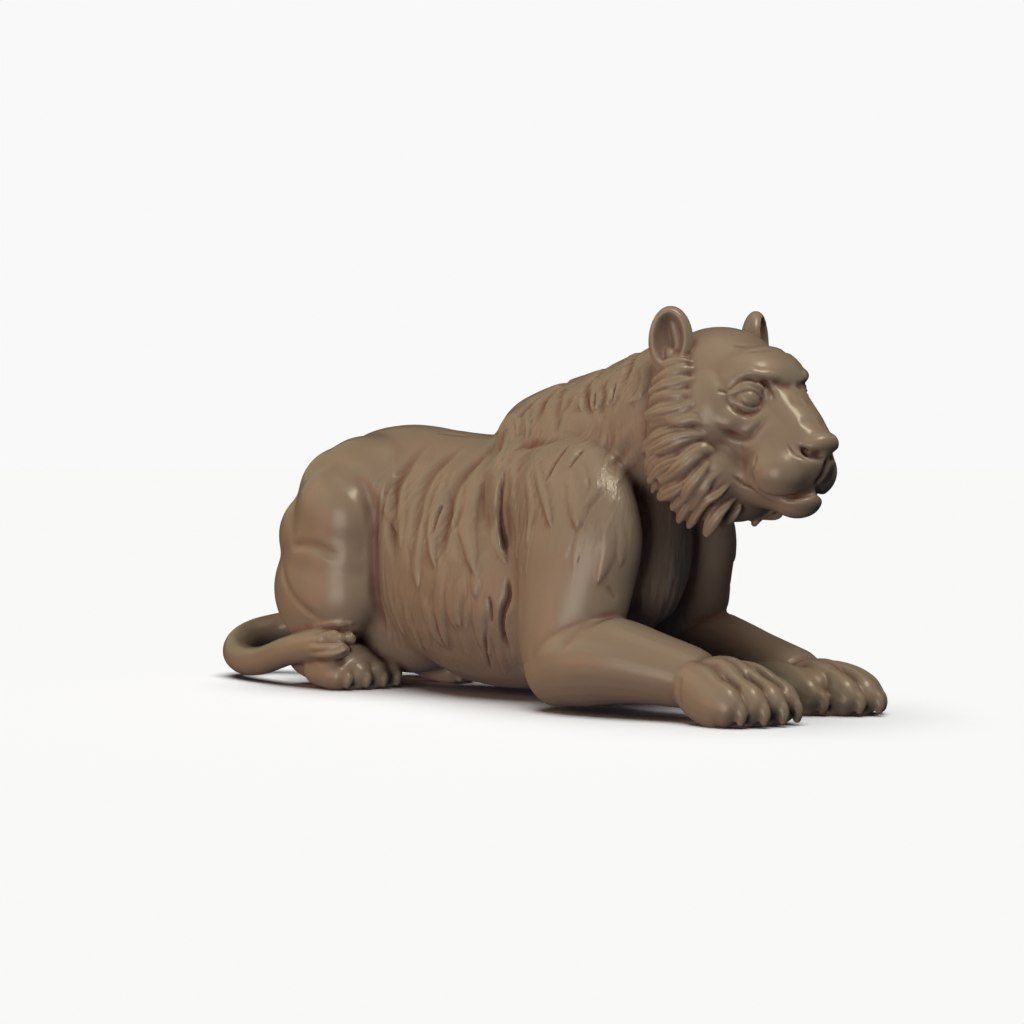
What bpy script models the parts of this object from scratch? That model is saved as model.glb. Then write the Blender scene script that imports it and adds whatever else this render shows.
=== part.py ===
"""Tiger figurine: a lying tiger with its head up, modelled as one solid of cast clay.

Metres, +Z up, nose toward -Y, the tiger's right side toward -X. The rows of numbers are
in millimetres as (forward, right, up), measured from the ground under the chest.
"""
import math

import bmesh
import bpy
import numpy as np
from mathutils import Matrix, Vector

for old in list(bpy.data.objects):
    bpy.data.objects.remove(old, do_unlink=True)

MM = 0.001
NAME = "tiger_figurine"

# sizes that drive the figure, in millimetres and degrees
HEAD_TURN = 5.0      # the head is turned this much to the tiger's right
HEAD_PIVOT = 84.0    # forward place of that turn
PAW_SPREAD = 21.0    # forepaws, either side of the middle
LEFT_REACH = 4.0     # the left forepaw lies further forward,
LEFT_DROP = 3.0      # flatter
LEFT_CLOSE = 2.5     # and nearer the middle
EYE_RADIUS = 3.8
EYE_TURN = 37.0      # the eyes look forward and outward
EYE_SPOT = (100.4, 10, 86.9)
EAR_TURN = 48.0      # the ears open forward and outward,
LEFT_EAR_TURN = 33.0 # the left one less so
EAR_SPOT = (79.1, 17.6, 102.8)
EAR_HALF = (4.4, 6.3, 10.0)
EAR_HOLLOW = (4.2, 4.3, 7.4)
TOE_RADIUS = 4.4
TOE_BACK = (22, 14, 8, 4.2, 2.2)    # places along a toe, back from its tip, and how high it is there
RIGHT_TOE_TOPS = (16.8, 16.6, 13.5, 12, 9.8)
LEFT_TOE_TOPS = (13.6, 14.3, 13, 11.2, 9)
CLAW_RADIUS = 1.5
BODY_GRAIN = 1.2     # grain of the skin over the big masses
FACE_GRAIN = 0.7
FINE_GRAIN = 0.5
HEAD_EDGE = 71.0     # the head lies forward of this
HEAD_LOW = 46.0      # and above this
PAW_EDGE = 84.0      # the forepaws lie forward of this
FACES_KEPT = {"rest": 3350, "head": 3750, "forepaws": 1650}

# rows of (forward, right, up, half across, half deep)
TRUNK = [
    (-66, 0, 44, 16, 22), (-57, 0, 44, 20, 33.2), (-40, 0, 45, 22, 36.6), (-20, 0, 43.5, 23, 36),
    (0, 0, 42, 24, 36), (20, 0, 42, 24, 37), (38, 0, 45, 22, 36), (50, 0, 46, 18, 29), (57, 0, 46, 14, 24)]
BELLY = [
    (-34, 0, 45, 20, 28), (-20, 0, 40, 25, 31), (-4, 0, 34.5, 28, 32), (12, 0, 34, 28.3, 32),
    (26, 0, 38, 26, 31), (38, 0, 43, 22, 29)]
NECK = [
    (10, 0, 67.5, 12, 16.5), (17, 0, 70.5, 15.5, 19.6), (26, 0, 72.3, 17.5, 20.8), (38, 0, 75, 18.8, 20.8),
    (52, 0, 78, 19.5, 21.5), (66, 0, 82, 20, 22), (76, 0, 84, 18, 20)]
UPPER_ARM = [
    (32, 13, 68, 9, 14), (38, 18, 62, 11, 19), (47.5, 21, 51, 12.5, 21.5), (48, 22.5, 36, 13, 18.7),
    (47, 24.5, 23, 12.5, 16.2), (46.5, 25.5, 13, 11.5, 13)]
TAIL = [
    (-62, -4, 25, 6, 6), (-78, -6, 19.8, 5.3, 5.3), (-91, -6, 17, 5.1, 5.1), (-100.5, -1.5, 14.8, 5, 5),
    (-104.5, 5.5, 13, 5, 5), (-104, 12.5, 10.6, 5, 5), (-100, 18, 7.8, 4.8, 4.8),
    (-92, 21.8, 6, 4.7, 4.7),
    (-80, 25, 6.8, 4.5, 4.5), (-64, 28.5, 11, 4.6, 4.5), (-51, 29.3, 13.4, 5.2, 4.7),
    (-46, 29.2, 13.7, 4.6, 4)]
# lobes of the tuft at its end
TUFT_LOBES = [
    [(-51, 29.8, 12.3, 4.2, 3.2), (-43, 30, 12.2, 3.5, 2.9), (-38.6, 29.6, 12.3, 2.5, 2.2)],
    [(-51, 29, 15.4, 4, 2.8), (-45, 28.6, 15.8, 3.2, 2.3), (-41.2, 28.2, 15.9, 2.2, 1.7)],
    [(-47, 26, 15.3, 3, 2.5), (-40, 25.2, 15.6, 2, 2)]]
# hips, thighs and shoulder blade: (forward, right, up), (half sizes), pitch
FLESH = [
    ((-46, 11.5, 60.2), (21.5, 14, 17.9), 0), ((-49.5, 21, 53), (15.5, 11.5, 16), -15),
    ((-55.5, 21, 30), (20, 12, 19), 6), ((-61.3, 17.5, 46.5), (14.2, 12.5, 14.6), 0),
    ((-53, 20.9, 42), (17.5, 11.7, 17), 0), ((22, 10, 74), (15, 8, 12), 20),
    ((-38, 0, 20), (22, 17, 16.5), 0),
    ((22, 17.5, 60), (13, 7.5, 15), 0), ((-56.6, 13, 58.4), (15, 12.5, 16), 0)]

# the head, before it is turned
MUZZLE = [
    (86, 0, 81, 18, 16), (93, 0, 79.5, 16.3, 14), (99, 0, 77.5, 14.2, 12.8), (105, 0, 74.8, 11.6, 11.6),
    (110, 0, 72.2, 9.8, 9.8), (114, 0, 70, 8.2, 7.5)]
NOSE_BRIDGE = [
    (99, 0, 91.5, 10, 5), (104.5, 0, 87.6, 8, 4.8), (108.6, 0, 83.4, 7.4, 4.6), (112, 0, 79.7, 7, 4.5),
    (114.4, 0, 76.8, 6.8, 4.2)]
JAW = [(86, 0, 70, 17, 12), (94, 0, 67, 14.5, 9), (101, 0, 63.5, 10.5, 7), (107, 0, 60.5, 7.5, 5)]
BROW = [
    (97.9, 11.7, 92.4, 2.1, 2.1), (101.4, 10.1, 93.4, 2.6, 2.6), (103, 8.6, 92.9, 2.7, 2.7),
    (104.9, 6.1, 93.1, 2.4, 2.3), (105.6, 3.9, 92.6, 2.1, 1.9), (105.8, 1.2, 92, 1.8, 1.5)]
RUFF = [
    (81, 16, 96, 4.5, 5), (80.5, 17, 87, 5.5, 9), (80.5, 17, 76, 5.5, 10), (83, 15.5, 66, 5.5, 10.5),
    (84, 12.5, 60.5, 5, 8.5), (82, 9.5, 57.5, 4, 5.5)]


def at(forward, right, up):
    """figurine millimetres to world metres"""
    return Vector((-right, -forward, up)) * MM


def lump(place, half, pitch=0, yaw=0):
    """ellipsoid mass; half sizes run forward, right and up"""
    bpy.ops.mesh.primitive_uv_sphere_add(segments=32, ring_count=16, radius=1)
    body = bpy.context.object
    turn = Matrix.Rotation(math.radians(yaw), 4, 'Z') @ Matrix.Rotation(math.radians(pitch), 4, 'X')
    size = Matrix.Diagonal((half[1] * MM, half[0] * MM, half[2] * MM, 1))
    body.data.transform(Matrix.Translation(at(*place)) @ turn @ size)
    return body


def smooth_rows(rows, steps):
    """finer rows on a curve through the given ones"""
    p = np.asarray(rows, float)
    p = np.vstack([2 * p[0] - p[1], p, 2 * p[-1] - p[-2]])
    fine = []
    for i in range(1, len(p) - 2):
        a, b, c, d = p[i - 1:i + 3]
        for k in range(steps):
            t = k / steps
            fine.append(b + 0.5 * ((c - a) * t + (2 * a - 5 * b + 4 * c - d) * t ** 2
                                   + (3 * b - a - 3 * c + d) * t ** 3))
    fine.append(p[-2])
    return np.array(fine)


def tube(rows, side=1, steps=6, sides=24, across=(1, 0, 0)):
    """round mass along rows of (forward, right, up, half across, half deep), domed at its ends"""
    fine = smooth_rows(rows, steps)
    centre = np.stack([-fine[:, 1] * side, -fine[:, 0], fine[:, 2]], 1)
    half = np.maximum(fine[:, 3:5], 0.05)
    run = np.gradient(centre, axis=0)
    run /= np.linalg.norm(run, axis=1)[:, None]
    rings = list(zip(centre, run, half))
    for angle in (25, 50, 75):
        a = math.radians(angle)
        small = half[0] * math.cos(a)
        rings.insert(0, (centre[0] - run[0] * math.sin(a) * half[0].min() * 0.8, run[0], small))
        small = half[-1] * math.cos(a)
        rings.append((centre[-1] + run[-1] * math.sin(a) * half[-1].min() * 0.8, run[-1], small))
    mesh = bmesh.new()
    loops = []
    for middle, along, size in rings:
        first = np.array(across, float) - along * np.dot(across, along)
        first /= np.linalg.norm(first)
        second = np.cross(along, first)
        loop = []
        for k in range(sides):
            a = 2 * math.pi * k / sides
            point = middle + first * math.cos(a) * size[0] + second * math.sin(a) * size[1]
            loop.append(mesh.verts.new(Vector(point) * MM))
        loops.append(loop)
    for lower, upper in zip(loops, loops[1:]):
        for k in range(sides):
            n = (k + 1) % sides
            mesh.faces.new((lower[k], lower[n], upper[n], upper[k]))
    mesh.faces.new(loops[0][::-1])
    mesh.faces.new(loops[-1])
    bmesh.ops.recalc_face_normals(mesh, faces=mesh.faces)
    data = bpy.data.meshes.new("mass")
    mesh.to_mesh(data)
    mesh.free()
    body = bpy.data.objects.new("mass", data)
    bpy.context.scene.collection.objects.link(body)
    return body


def apply_all(body):
    bpy.ops.object.select_all(action='DESELECT')
    bpy.context.view_layer.objects.active = body
    body.select_set(True)
    for change in list(body.modifiers):
        bpy.ops.object.modifier_apply(modifier=change.name)


def skin(masses, grain, rounds):
    """one smooth skin over masses pressed together"""
    bpy.ops.object.select_all(action='DESELECT')
    for mass in masses:
        mass.select_set(True)
    bpy.context.view_layer.objects.active = masses[0]
    bpy.ops.object.join()
    body = bpy.context.object
    wrap = body.modifiers.new("skin", 'REMESH')
    wrap.mode = 'VOXEL'
    wrap.voxel_size = grain * MM
    relax = body.modifiers.new("relax", 'SMOOTH')
    relax.factor = 0.5
    relax.iterations = rounds
    apply_all(body)
    return body


def turned(masses):
    """the head's turn about the neck"""
    pivot = at(HEAD_PIVOT, 0, 0)
    turn = Matrix.Rotation(math.radians(-HEAD_TURN), 4, 'Z')
    for mass in masses:
        mass.data.transform(Matrix.Translation(pivot) @ turn @ Matrix.Translation(-pivot))
    return masses


def carve(body, strokes, on_head, sides=(1, -1)):
    """presses strokes (points, half width, depth) into the skin; a depth below zero raises it"""
    count = len(body.data.vertices)
    place = np.empty(count * 3)
    body.data.vertices.foreach_get("co", place)
    place = place.reshape(-1, 3)
    normal = np.empty(count * 3)
    body.data.vertices.foreach_get("normal", normal)
    normal = normal.reshape(-1, 3)
    turn = Matrix.Rotation(math.radians(-HEAD_TURN), 4, 'Z')
    pivot = at(HEAD_PIVOT, 0, 0)
    shift = np.zeros(len(place))
    for points, half_width, depth in strokes:
        for side in sides:
            line = []
            for forward, right, up in smooth_rows(points, 4) if len(points) > 1 else points:
                point = at(forward, right * side, up)
                line.append(pivot + turn @ (point - pivot) if on_head else point)
            line = np.array([tuple(p) for p in line])
            reach = half_width * MM
            low = line.min(0) - reach
            high = line.max(0) + reach
            near = np.nonzero(((place > low) & (place < high)).all(1))[0]
            soft = np.zeros(len(near))
            count = max(len(line) - 1, 1)
            for k, (a, b) in enumerate(zip(line, line[1:] if len(line) > 1 else line)):
                run = b - a
                t = np.clip((place[near] - a) @ run / max(run @ run, 1e-12), 0, 1)
                away = np.linalg.norm(place[near] - a - t[:, None] * run, axis=1)
                share = (k + t) / count
                fade = np.minimum(1, np.minimum(share, 1 - share) * 4 + 0.2) if len(line) > 1 else 1
                soft = np.maximum(soft, np.clip(1 - (away / reach) ** 2, 0, 1) ** 2 * fade)
            soft *= depth * MM
            if depth > 0:
                shift[near] = np.maximum(shift[near], soft)
            else:
                shift[near] = np.minimum(shift[near], soft)
    place -= normal * shift[:, None]
    body.data.vertices.foreach_set("co", place.ravel())
    body.data.update()


def part_of(place):
    """name of the region a place lies in"""
    if place[1] < -HEAD_EDGE * MM and place[2] > HEAD_LOW * MM:
        return "head"
    if place[1] < -PAW_EDGE * MM:
        return "forepaws"
    return "rest"


def trunk_masses():
    masses = [tube(TRUNK), tube(BELLY), tube(NECK), turned([lump((81.3, 0, 87), (21, 20, 20.7))])[0]]
    for side in (1, -1):
        masses.append(tube(UPPER_ARM, side))
        for (forward, right, up), half, pitch in FLESH:
            masses.append(lump((forward, right * side, up), half, pitch))
    return masses


def toe(tip, right, middle, side):
    """long toe that ends at tip and stands on the ground, with the claw that hooks down from it"""
    tops = RIGHT_TOE_TOPS if side > 0 else LEFT_TOE_TOPS
    lean = right - middle
    r = TOE_RADIUS
    c = CLAW_RADIUS
    rows = []
    for back, top, turn, wide in zip(TOE_BACK, tops, (0.62, 0.86, 1, 1, 1), (0.9, 1, 1.02, 1, 0.92)):
        deep = 5 if back > 14 else (top - 1.5) / 2 if back == 14 else top / 2 + 0.3
        rows.append((tip - back, middle + lean * turn, top - deep, r * wide, deep))
    height = tops[3]
    claw = [(tip - 1, right, height * 0.52, c, c), (tip + 1, right, height * 0.47, c * 1.1, c * 1.1),
            (tip + 1.8, right, height * 0.29, c, c), (tip + 1.5, right, 1.4, c * 0.8, c * 0.8)]
    return [tube(rows, side, 3, 16), tube(claw, side, 3, 12)]


def left_or_right(side):
    """reach, drop and closeness of a forepaw"""
    return (0, 0, 0) if side > 0 else (LEFT_REACH, LEFT_DROP, LEFT_CLOSE)


def toe_spots(side):
    """toe tips of a forepaw, from the outer one, as (forward, right)"""
    if side > 0:
        return [(110, 30.3), (113.8, 25.1), (115.6, 19.2), (115.6, 13)]
    return [(117, 25.5), (119.5, 20.5), (116.5, 15.5), (108.5, 9.5)]


def toe_grooves(side):
    """furrows between the toes of a forepaw"""
    tops = RIGHT_TOE_TOPS if side > 0 else LEFT_TOE_TOPS
    middle = PAW_SPREAD - left_or_right(side)[2]
    spots = toe_spots(side)
    strokes = []
    for (tip, right), (next_tip, next_right) in zip(spots, spots[1:]):
        end = (tip + next_tip) / 2
        r = (right + next_right) / 2
        back = middle + (r - middle) * 0.86
        points = [(end - 14.5, back, tops[1] + 0.6), (end - 11, (back + r) / 2, tops[1] - 0.6),
                  (end - 7, r, tops[2] - 1), (end - 3.5, r, tops[3] - 1.4), (end - 1.5, r, tops[4] / 2)]
        strokes.append((points, 2.3, 1.1))
    return strokes


def forelegs():
    masses = []
    for side in (1, -1):
        reach, drop, close = left_or_right(side)
        middle = PAW_SPREAD - close
        arm = [(44.5, 26, 11.5, 10.8, 11), (54, 26.5, 14.5, 12.5, 13),
               (66, 26 - close * 0.4, 15 - drop * 0.45, 12, 12 - drop * 0.3),
               (78, 24.5 - close * 0.7, 13.5 - drop * 0.45, 10.5, 10 - drop * 0.3),
               (89 + reach, 22.5 - close, 11.5 - drop * 0.6, 9.5, 8.5 - drop * 0.3)]
        masses.append(tube(arm, side))
        ball = (97.5 + reach, middle * side, 8.4 - drop * 0.6)
        masses.append(lump(ball, (11.5, 11.3, 9.5 - drop * 0.4), -12))
        for tip, right in toe_spots(side):
            masses += toe(tip, right, middle, side)
    return masses


def hind_feet():
    masses = []
    for side in (1, -1):
        reach = 0 if side > 0 else 6
        foot = [(-66 + reach, 19, 9.4, 6.5, 7), (-56 + reach, 20, 8.6, 9, 8.4),
                (-46 + reach, 20, 6.9, 10, 7.2), (-42 + reach, 20, 6, 9.5, 6)]
        masses.append(tube(foot, side))
        for tip, right in [(-40.5, 27.5), (-37.6, 22), (-35.8, 16.5), (-35.6, 11)]:
            tip += reach
            rows = [(tip - 13, right * 0.97, 6.4, 4.4, 5.6), (tip - 5, right, 5.1, 4.6, 5.3),
                    (tip - 1.3, right, 4.3, 4.1, 4.4)]
            masses += [tube(rows, side, 3, 14), lump((tip + 1.8, right * side, 2.9), (1.3, 1.4, 2.6), 14)]
    return masses


def face_masses():
    masses = [tube(MUZZLE), tube(NOSE_BRIDGE), tube(JAW), lump((81.6, 0, 87.2), (21, 19.6, 20.1)),
              lump((95.1, 0, 91.3), (13.2, 15, 10.9)),
              lump((115.6, 0, 73.4), (7.2, 6.8, 4.1), -25),
              lump((109.5, 0, 59.8), (7.2, 6.8, 5.4)),
              lump((87, 0, 64.5), (12.5, 15, 11.5))]
    for side in (1, -1):
        masses.append(lump((107.9, 6.1 * side, 67.3), (8.8, 7.5, 7.8)))
        masses.append(lump((105.5, 5.8 * side, 73), (8.5, 6, 6)))
        masses.append(lump((94, 11.8 * side, 80.5), (8, 6, 5.5), -15))
        masses.append(lump((88, 14 * side, 84), (10, 6.5, 12)))
        masses.append(lump((89, 11.5 * side, 67), (8.5, 6.5, 11), 15))
    return masses


def facing(middle, degrees, inward, up, ahead):
    """place beside a middle, seen along a level line that is turned outward by degrees"""
    a = math.radians(degrees)
    forward = middle[0] + ahead * math.cos(a) + inward * math.sin(a)
    return (forward, middle[1] + ahead * math.sin(a) - inward * math.cos(a), middle[2] + up)


def strips(rows, middle, degrees, side):
    """round strips along rows of (inward, up, ahead, half thick, half tall) beside a middle"""
    masses = []
    for strip in rows:
        line = [facing(middle, degrees, *row[:3]) + row[3:] for row in strip]
        masses.append(tube(line, side, 4, 12))
    return masses


def ear(side):
    """cupped ear: a flat ellipsoid hollowed toward its open side, with the folds in its cup"""
    turn, inward = (EAR_TURN, -0.6) if side > 0 else (LEFT_EAR_TURN, 0.7)
    yaw = -side * turn
    forward, right, up = EAR_SPOT
    shell = lump((forward, right * side, up), EAR_HALF, yaw=yaw)
    forward, right, up = facing(EAR_SPOT, turn, inward, 1, 3.6)
    hollow = lump((forward, right * side, up), EAR_HOLLOW, yaw=yaw)
    cut = shell.modifiers.new("hollow", 'BOOLEAN')
    cut.operation = 'DIFFERENCE'
    cut.solver = 'EXACT'
    cut.object = hollow
    apply_all(shell)
    bpy.data.objects.remove(hollow, do_unlink=True)
    return [skin([shell] + strips(EAR_FOLDS, EAR_SPOT, turn, side), FACE_GRAIN * 0.6, 6)]


def eye(side):
    """eyeball with lids laid over it as strips"""
    forward, right, up = EYE_SPOT
    return [lump((forward, right * side, up), (EYE_RADIUS,) * 3)] + strips(LIDS, EYE_SPOT, EYE_TURN, side)


def ruff_locks(side):
    """pointed locks that sweep back from the cheek over the ruff, each half sunk in it"""
    masses = []
    for radius, points in RUFF_LOCKS:
        rows = []
        for k, (forward, right, up) in enumerate(points):
            if side < 0 and forward > 84 and up < 57:
                up = 57 - (57 - up) * 0.35
            share = k / (len(points) - 1)
            r = radius * (0.3, 0.95, 1.1, 0.6)[round(share * 3)]
            out = Vector((right, 0.55 * (up - 76))).normalized() * r * (-0.1 if k else -0.35)
            rows.append((forward, right + out.x, up + out.y, r * 0.75, r * 1.2))
        masses.append(tube(rows, side, 4, 12))
    return masses


def features():
    masses = []
    for side in (1, -1):
        masses.append(tube(RUFF, side))
        masses += ear(side)
        masses.append(lump((80, 15.3 * side, 95.5), (6, 5, 5)))
        masses.append(tube(BROW, side, 6, 14))
        masses += eye(side)
        masses += ruff_locks(side)
    return masses


# locks of the ruff from the ear down to the chin: half thickness, (forward, right, up) from root to tip
RUFF_LOCKS = [
    (0.9, [(86, 17, 97.5), (84, 19, 97.5), (80.5, 20.5, 97), (77.5, 21, 95.5)]),
    (1.3, [(87, 17.5, 95.5), (85, 19.5, 95), (81.5, 21, 94), (75, 20.5, 92)]),
    (1.7, [(88.5, 18.5, 92.5), (85.5, 20.5, 91.5), (81.5, 22, 90.5), (75, 21.5, 89)]),
    (1.3, [(89, 19.5, 89), (85.5, 21.5, 88), (81, 22.5, 88), (75.5, 22, 86.5)]),
    (2.2, [(90, 20, 86.5), (85.5, 21.5, 84.5), (80.5, 22.5, 83.5), (74, 22, 82.5)]),
    (1.3, [(91, 20, 84), (87, 21, 82.5), (83, 22.5, 81.5), (75.5, 22, 80)]),
    (1.4, [(93, 19, 80), (90, 20.5, 81.5), (86.5, 22, 81), (83, 22.5, 80.5)]),
    (1.5, [(89, 20, 79), (84, 22, 78.5), (78, 22.5, 76.5), (72.5, 21.5, 74.5)]),
    (2.1, [(92.5, 18.5, 77.5), (87.5, 21, 77), (82.5, 22.5, 75), (74.5, 22, 72.5)]),
    (2.3, [(93.5, 16.5, 73), (90.5, 19, 73), (86.5, 21, 69.5), (78.5, 21, 65)]),
    (1.7, [(89.5, 19.5, 72.5), (84, 21.5, 70.5), (78, 21.5, 68), (73, 20, 64.5)]),
    (1.9, [(92.5, 17.5, 69.5), (90.5, 19, 66.5), (87, 19.5, 62.5), (83.5, 18, 58.5)]),
    (1.3, [(96, 15, 68), (93, 17, 65.5), (90.5, 18, 62.5), (87, 18, 59)]),
    (1.5, [(96.5, 13, 64), (94, 15, 61.5), (91, 16.5, 59.5), (87, 16, 55)]),
    (1.9, [(89, 19.5, 66), (84, 20, 63), (79.5, 19.5, 61.5), (75.5, 18.5, 60)]),
    (1.5, [(86.5, 19.5, 62.5), (85, 19, 61), (82, 18, 59), (79, 17, 57)]),
    (1.5, [(87.5, 18, 59.5), (85, 17.5, 58), (82.5, 16.5, 56), (79.5, 15, 53.5)]),
    (1.5, [(90, 16.5, 58.5), (88, 16, 57), (85, 15, 54.5), (82, 13.5, 52)]),
    (1.9, [(95.5, 9.5, 60), (92.5, 12.5, 56.5), (90, 13, 53), (87, 12, 50)]),
    (1.3, [(96, 7.5, 57.5), (93.5, 7.5, 55.5), (90.5, 7, 54), (87, 5.5, 52)]),
    (1.7, [(80, 22, 73), (77, 22, 71), (74, 21, 69), (71, 19, 66.5)]),
    (1.4, [(79.5, 22.5, 77.5), (77, 22, 76), (74, 21.5, 74.5), (71, 20.5, 72.5)]),
    (1.3, [(78, 20.5, 67), (76, 19.5, 65.5), (74, 18.5, 63.5), (71.5, 17, 61.5)]),
    (1.3, [(93.5, 16.5, 65.5), (92, 17.5, 63), (89.5, 17.5, 60.5), (86.5, 17, 57)])]

# upper lid and its edge, lower lid and its edge, from the outer corner of the eye
LIDS = [
    [(-5.4, 1.3, 0.4, 0.6, 0.7), (-4.4, 1.7, 1, 0.8, 1), (-2.7, 3, 1.5, 1, 1.2), (-0.5, 3.6, 1.7, 1.1, 1.3),
     (1.6, 3.2, 1.7, 1.1, 1.1), (3.2, 1.8, 1.5, 0.9, 0.8), (4.1, -0.3, 1.2, 0.6, 0.5)],
    [(-4.2, 0.8, 1.1, 0.35, 0.35), (-2.6, 2.1, 2.2, 0.5, 0.5), (-0.9, 2.6, 2.7, 0.55, 0.5),
     (0.9, 2.5, 2.7, 0.55, 0.5), (2.4, 1.7, 2.4, 0.5, 0.5), (3.5, 0.2, 1.9, 0.45, 0.45),
     (4, -1.3, 1.4, 0.35, 0.35)],
    [(-5, 0, 0.7, 0.5, 0.6), (-3.2, -1.7, 1.5, 0.8, 0.9), (-1, -3, 1.9, 0.9, 1), (1.4, -3.3, 1.8, 0.9, 1),
     (3.4, -2.8, 1.5, 0.8, 0.9), (4.9, -2.3, 1, 0.5, 0.6)],
    [(-4.1, 0.3, 1.1, 0.35, 0.35), (-2.5, -1.4, 2.3, 0.45, 0.45), (-0.5, -2.4, 2.8, 0.5, 0.45),
     (1.7, -2.5, 2.4, 0.5, 0.45), (3.2, -2, 1.8, 0.45, 0.4), (4.3, -1.5, 1.3, 0.3, 0.3)]]
EAR_FOLDS = [
    [(0.2, 5.6, 0.2, 0.5, 0.5), (1, 3.2, 0, 0.8, 0.8), (1.8, 0, 0.2, 0.9, 0.9), (1.6, -2, 0.6, 0.6, 0.6)],
    [(-0.4, -2.2, 0.2, 0.7, 0.7), (-0.2, -3.6, 0.8, 1, 1), (0.2, -5, 1.2, 0.9, 0.9)]]

# carved lines: (points), half width, depth
FACE_CUTS = [
    ([(116.5, 0.5, 62.4), (113.5, 4.5, 60.9), (110, 7.6, 61), (106.5, 9.8, 62.6), (104.6, 11.2, 65.8)], 2, 2),
    ([(121.3, 0, 71), (118, 0, 66.5), (117, 0, 63)], 1.6, 1.3),
    ([(115.6, 6.2, 73.8), (117.5, 5.7, 72.4), (119, 4.9, 71.8), (119.9, 3.5, 71.6), (120.5, 2.2, 70.9)],
     1.9, 2),
    ([(98.5, 13, 91.2), (101.4, 10.9, 93.1), (103.4, 9, 92.5), (104.7, 7.3, 90.7), (105.3, 5.9, 88.5),
      (106, 4.9, 86.1)], 1.9, 1.7),
    ([(105, 6, 91), (106.8, 2.8, 90), (107.6, 0, 89.8)], 2.6, 0.7),
    ([(94, 16.8, 81), (97, 15.2, 78.6), (100, 13.2, 76.6), (102.6, 12, 76.4), (105, 10.6, 79),
      (106.6, 9.4, 81.4)], 2, 1.5),
    ([(100, 13.5, 76), (101.5, 13.5, 70), (103.5, 12.3, 66), (106.5, 9.8, 62.6)], 2.2, 0.9),
    ([(102.3, 12.2, 86.9)], 5.6, 2.4)]
# finer strokes, cut last: mouth, nostril, inner corner of the eye, and the crease under the brow
FACE_LINES = [
    ([(116.2, 1.5, 61.6), (113.5, 4.6, 60.7), (110, 7.6, 61), (106.6, 9.7, 62.6), (104.8, 11.1, 65.4)],
     1, 0.7),
    ([(115.8, 6, 73.6), (117.2, 5.4, 72.4), (118.7, 4.6, 71.8), (119.6, 3.3, 71.5), (120.3, 2.2, 70.9)],
     1.2, 1.3),
    ([facing(EYE_SPOT, EYE_TURN, 3, 0.7, 2.1), facing(EYE_SPOT, EYE_TURN, 3.4, -0.4, 1.8),
      facing(EYE_SPOT, EYE_TURN, 3.3, -1.3, 1.7)], 0.7, 0.8),
    ([(100.5, 12.9, 92.4), (103, 10.9, 92.6), (104.9, 9.1, 91.8), (106, 7.8, 90.3), (106.7, 7.2, 88.4),
      (107.6, 7, 86.2)], 1.7, 0.9),
    ([(105.4, 7.6, 91.4), (107, 5.3, 90.8), (108, 3, 90.4), (108.4, 1.2, 90.4)], 1.5, 0.4)]

BODY_CUTS = [
    ([(-41, 23.5, 67), (-35.5, 23, 61), (-33, 22.5, 52), (-33, 22, 40), (-33.5, 21, 30.5),
      (-33.5, 17.5, 21.5)], 3.6, 1.2),
    ([(-63, 28.5, 42), (-56, 31, 44.5), (-48.5, 30.5, 44), (-43.5, 28.5, 41), (-40, 25, 40.5),
      (-36, 23, 43.5)], 3, 0.8),
    ([(23.5, 24.5, 70), (23.5, 26, 59), (22, 24, 50), (24.5, 25.5, 43)], 3.2, 1.4),
    ([(56, 38.5, 18), (59, 36, 23), (63.5, 30.5, 26.5), (65, 23.5, 27.5)], 2.4, 0.6)]

body = skin(trunk_masses(), BODY_GRAIN, 16)
face = skin(turned(face_masses()), FACE_GRAIN, 22)
limbs = forelegs() + hind_feet() + [tube(TAIL, across=(0, 0, 1))] + [tube(lobe) for lobe in TUFT_LOBES]
body = skin([body, face] + limbs, FINE_GRAIN, 5)
carve(body, BODY_CUTS, False)
carve(body, FACE_CUTS, True)
carve(body, toe_grooves(1), False, (1,))
carve(body, toe_grooves(-1), False, (-1,))
body = skin([body] + turned(features()), FINE_GRAIN, 2)
carve(body, FACE_LINES, True)

# head, forepaws and the rest are thinned apart, to their own number of triangles
for name, kept in FACES_KEPT.items():
    group = body.vertex_groups.new(name=name)
    group.add([v.index for v in body.data.vertices if part_of(v.co) == name], 1.0, 'REPLACE')
    total = sum(len(face.vertices) - 2 for face in body.data.polygons)
    there = sum(len(face.vertices) - 2 for face in body.data.polygons if part_of(face.center) == name)
    thin = body.modifiers.new("thin", 'DECIMATE')
    thin.ratio = (total - there + kept) / total
    thin.vertex_group = name
    apply_all(body)
    body.vertex_groups.clear()

# the soles and claws are cut flat where they stand
bpy.ops.mesh.primitive_cube_add(size=1)
ground = bpy.context.object
ground.name = "ground_cutter"
ground.data.transform(Matrix.Translation((0, 0, -20 * MM)) @ Matrix.Diagonal((0.4, 0.4, 40 * MM, 1)))
flat = body.modifiers.new("flat", 'BOOLEAN')
flat.operation = 'DIFFERENCE'
flat.solver = 'EXACT'
flat.object = ground
split = body.modifiers.new("split", 'TRIANGULATE')
apply_all(body)

# the origin goes under the middle of the box around the figure
corners = np.array([v.co for v in body.data.vertices])
SHIFT = Vector((-(corners[:, 0].min() + corners[:, 0].max()) / 2,
                -(corners[:, 1].min() + corners[:, 1].max()) / 2, -corners[:, 2].min()))
body.data.transform(Matrix.Translation(SHIFT))

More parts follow.
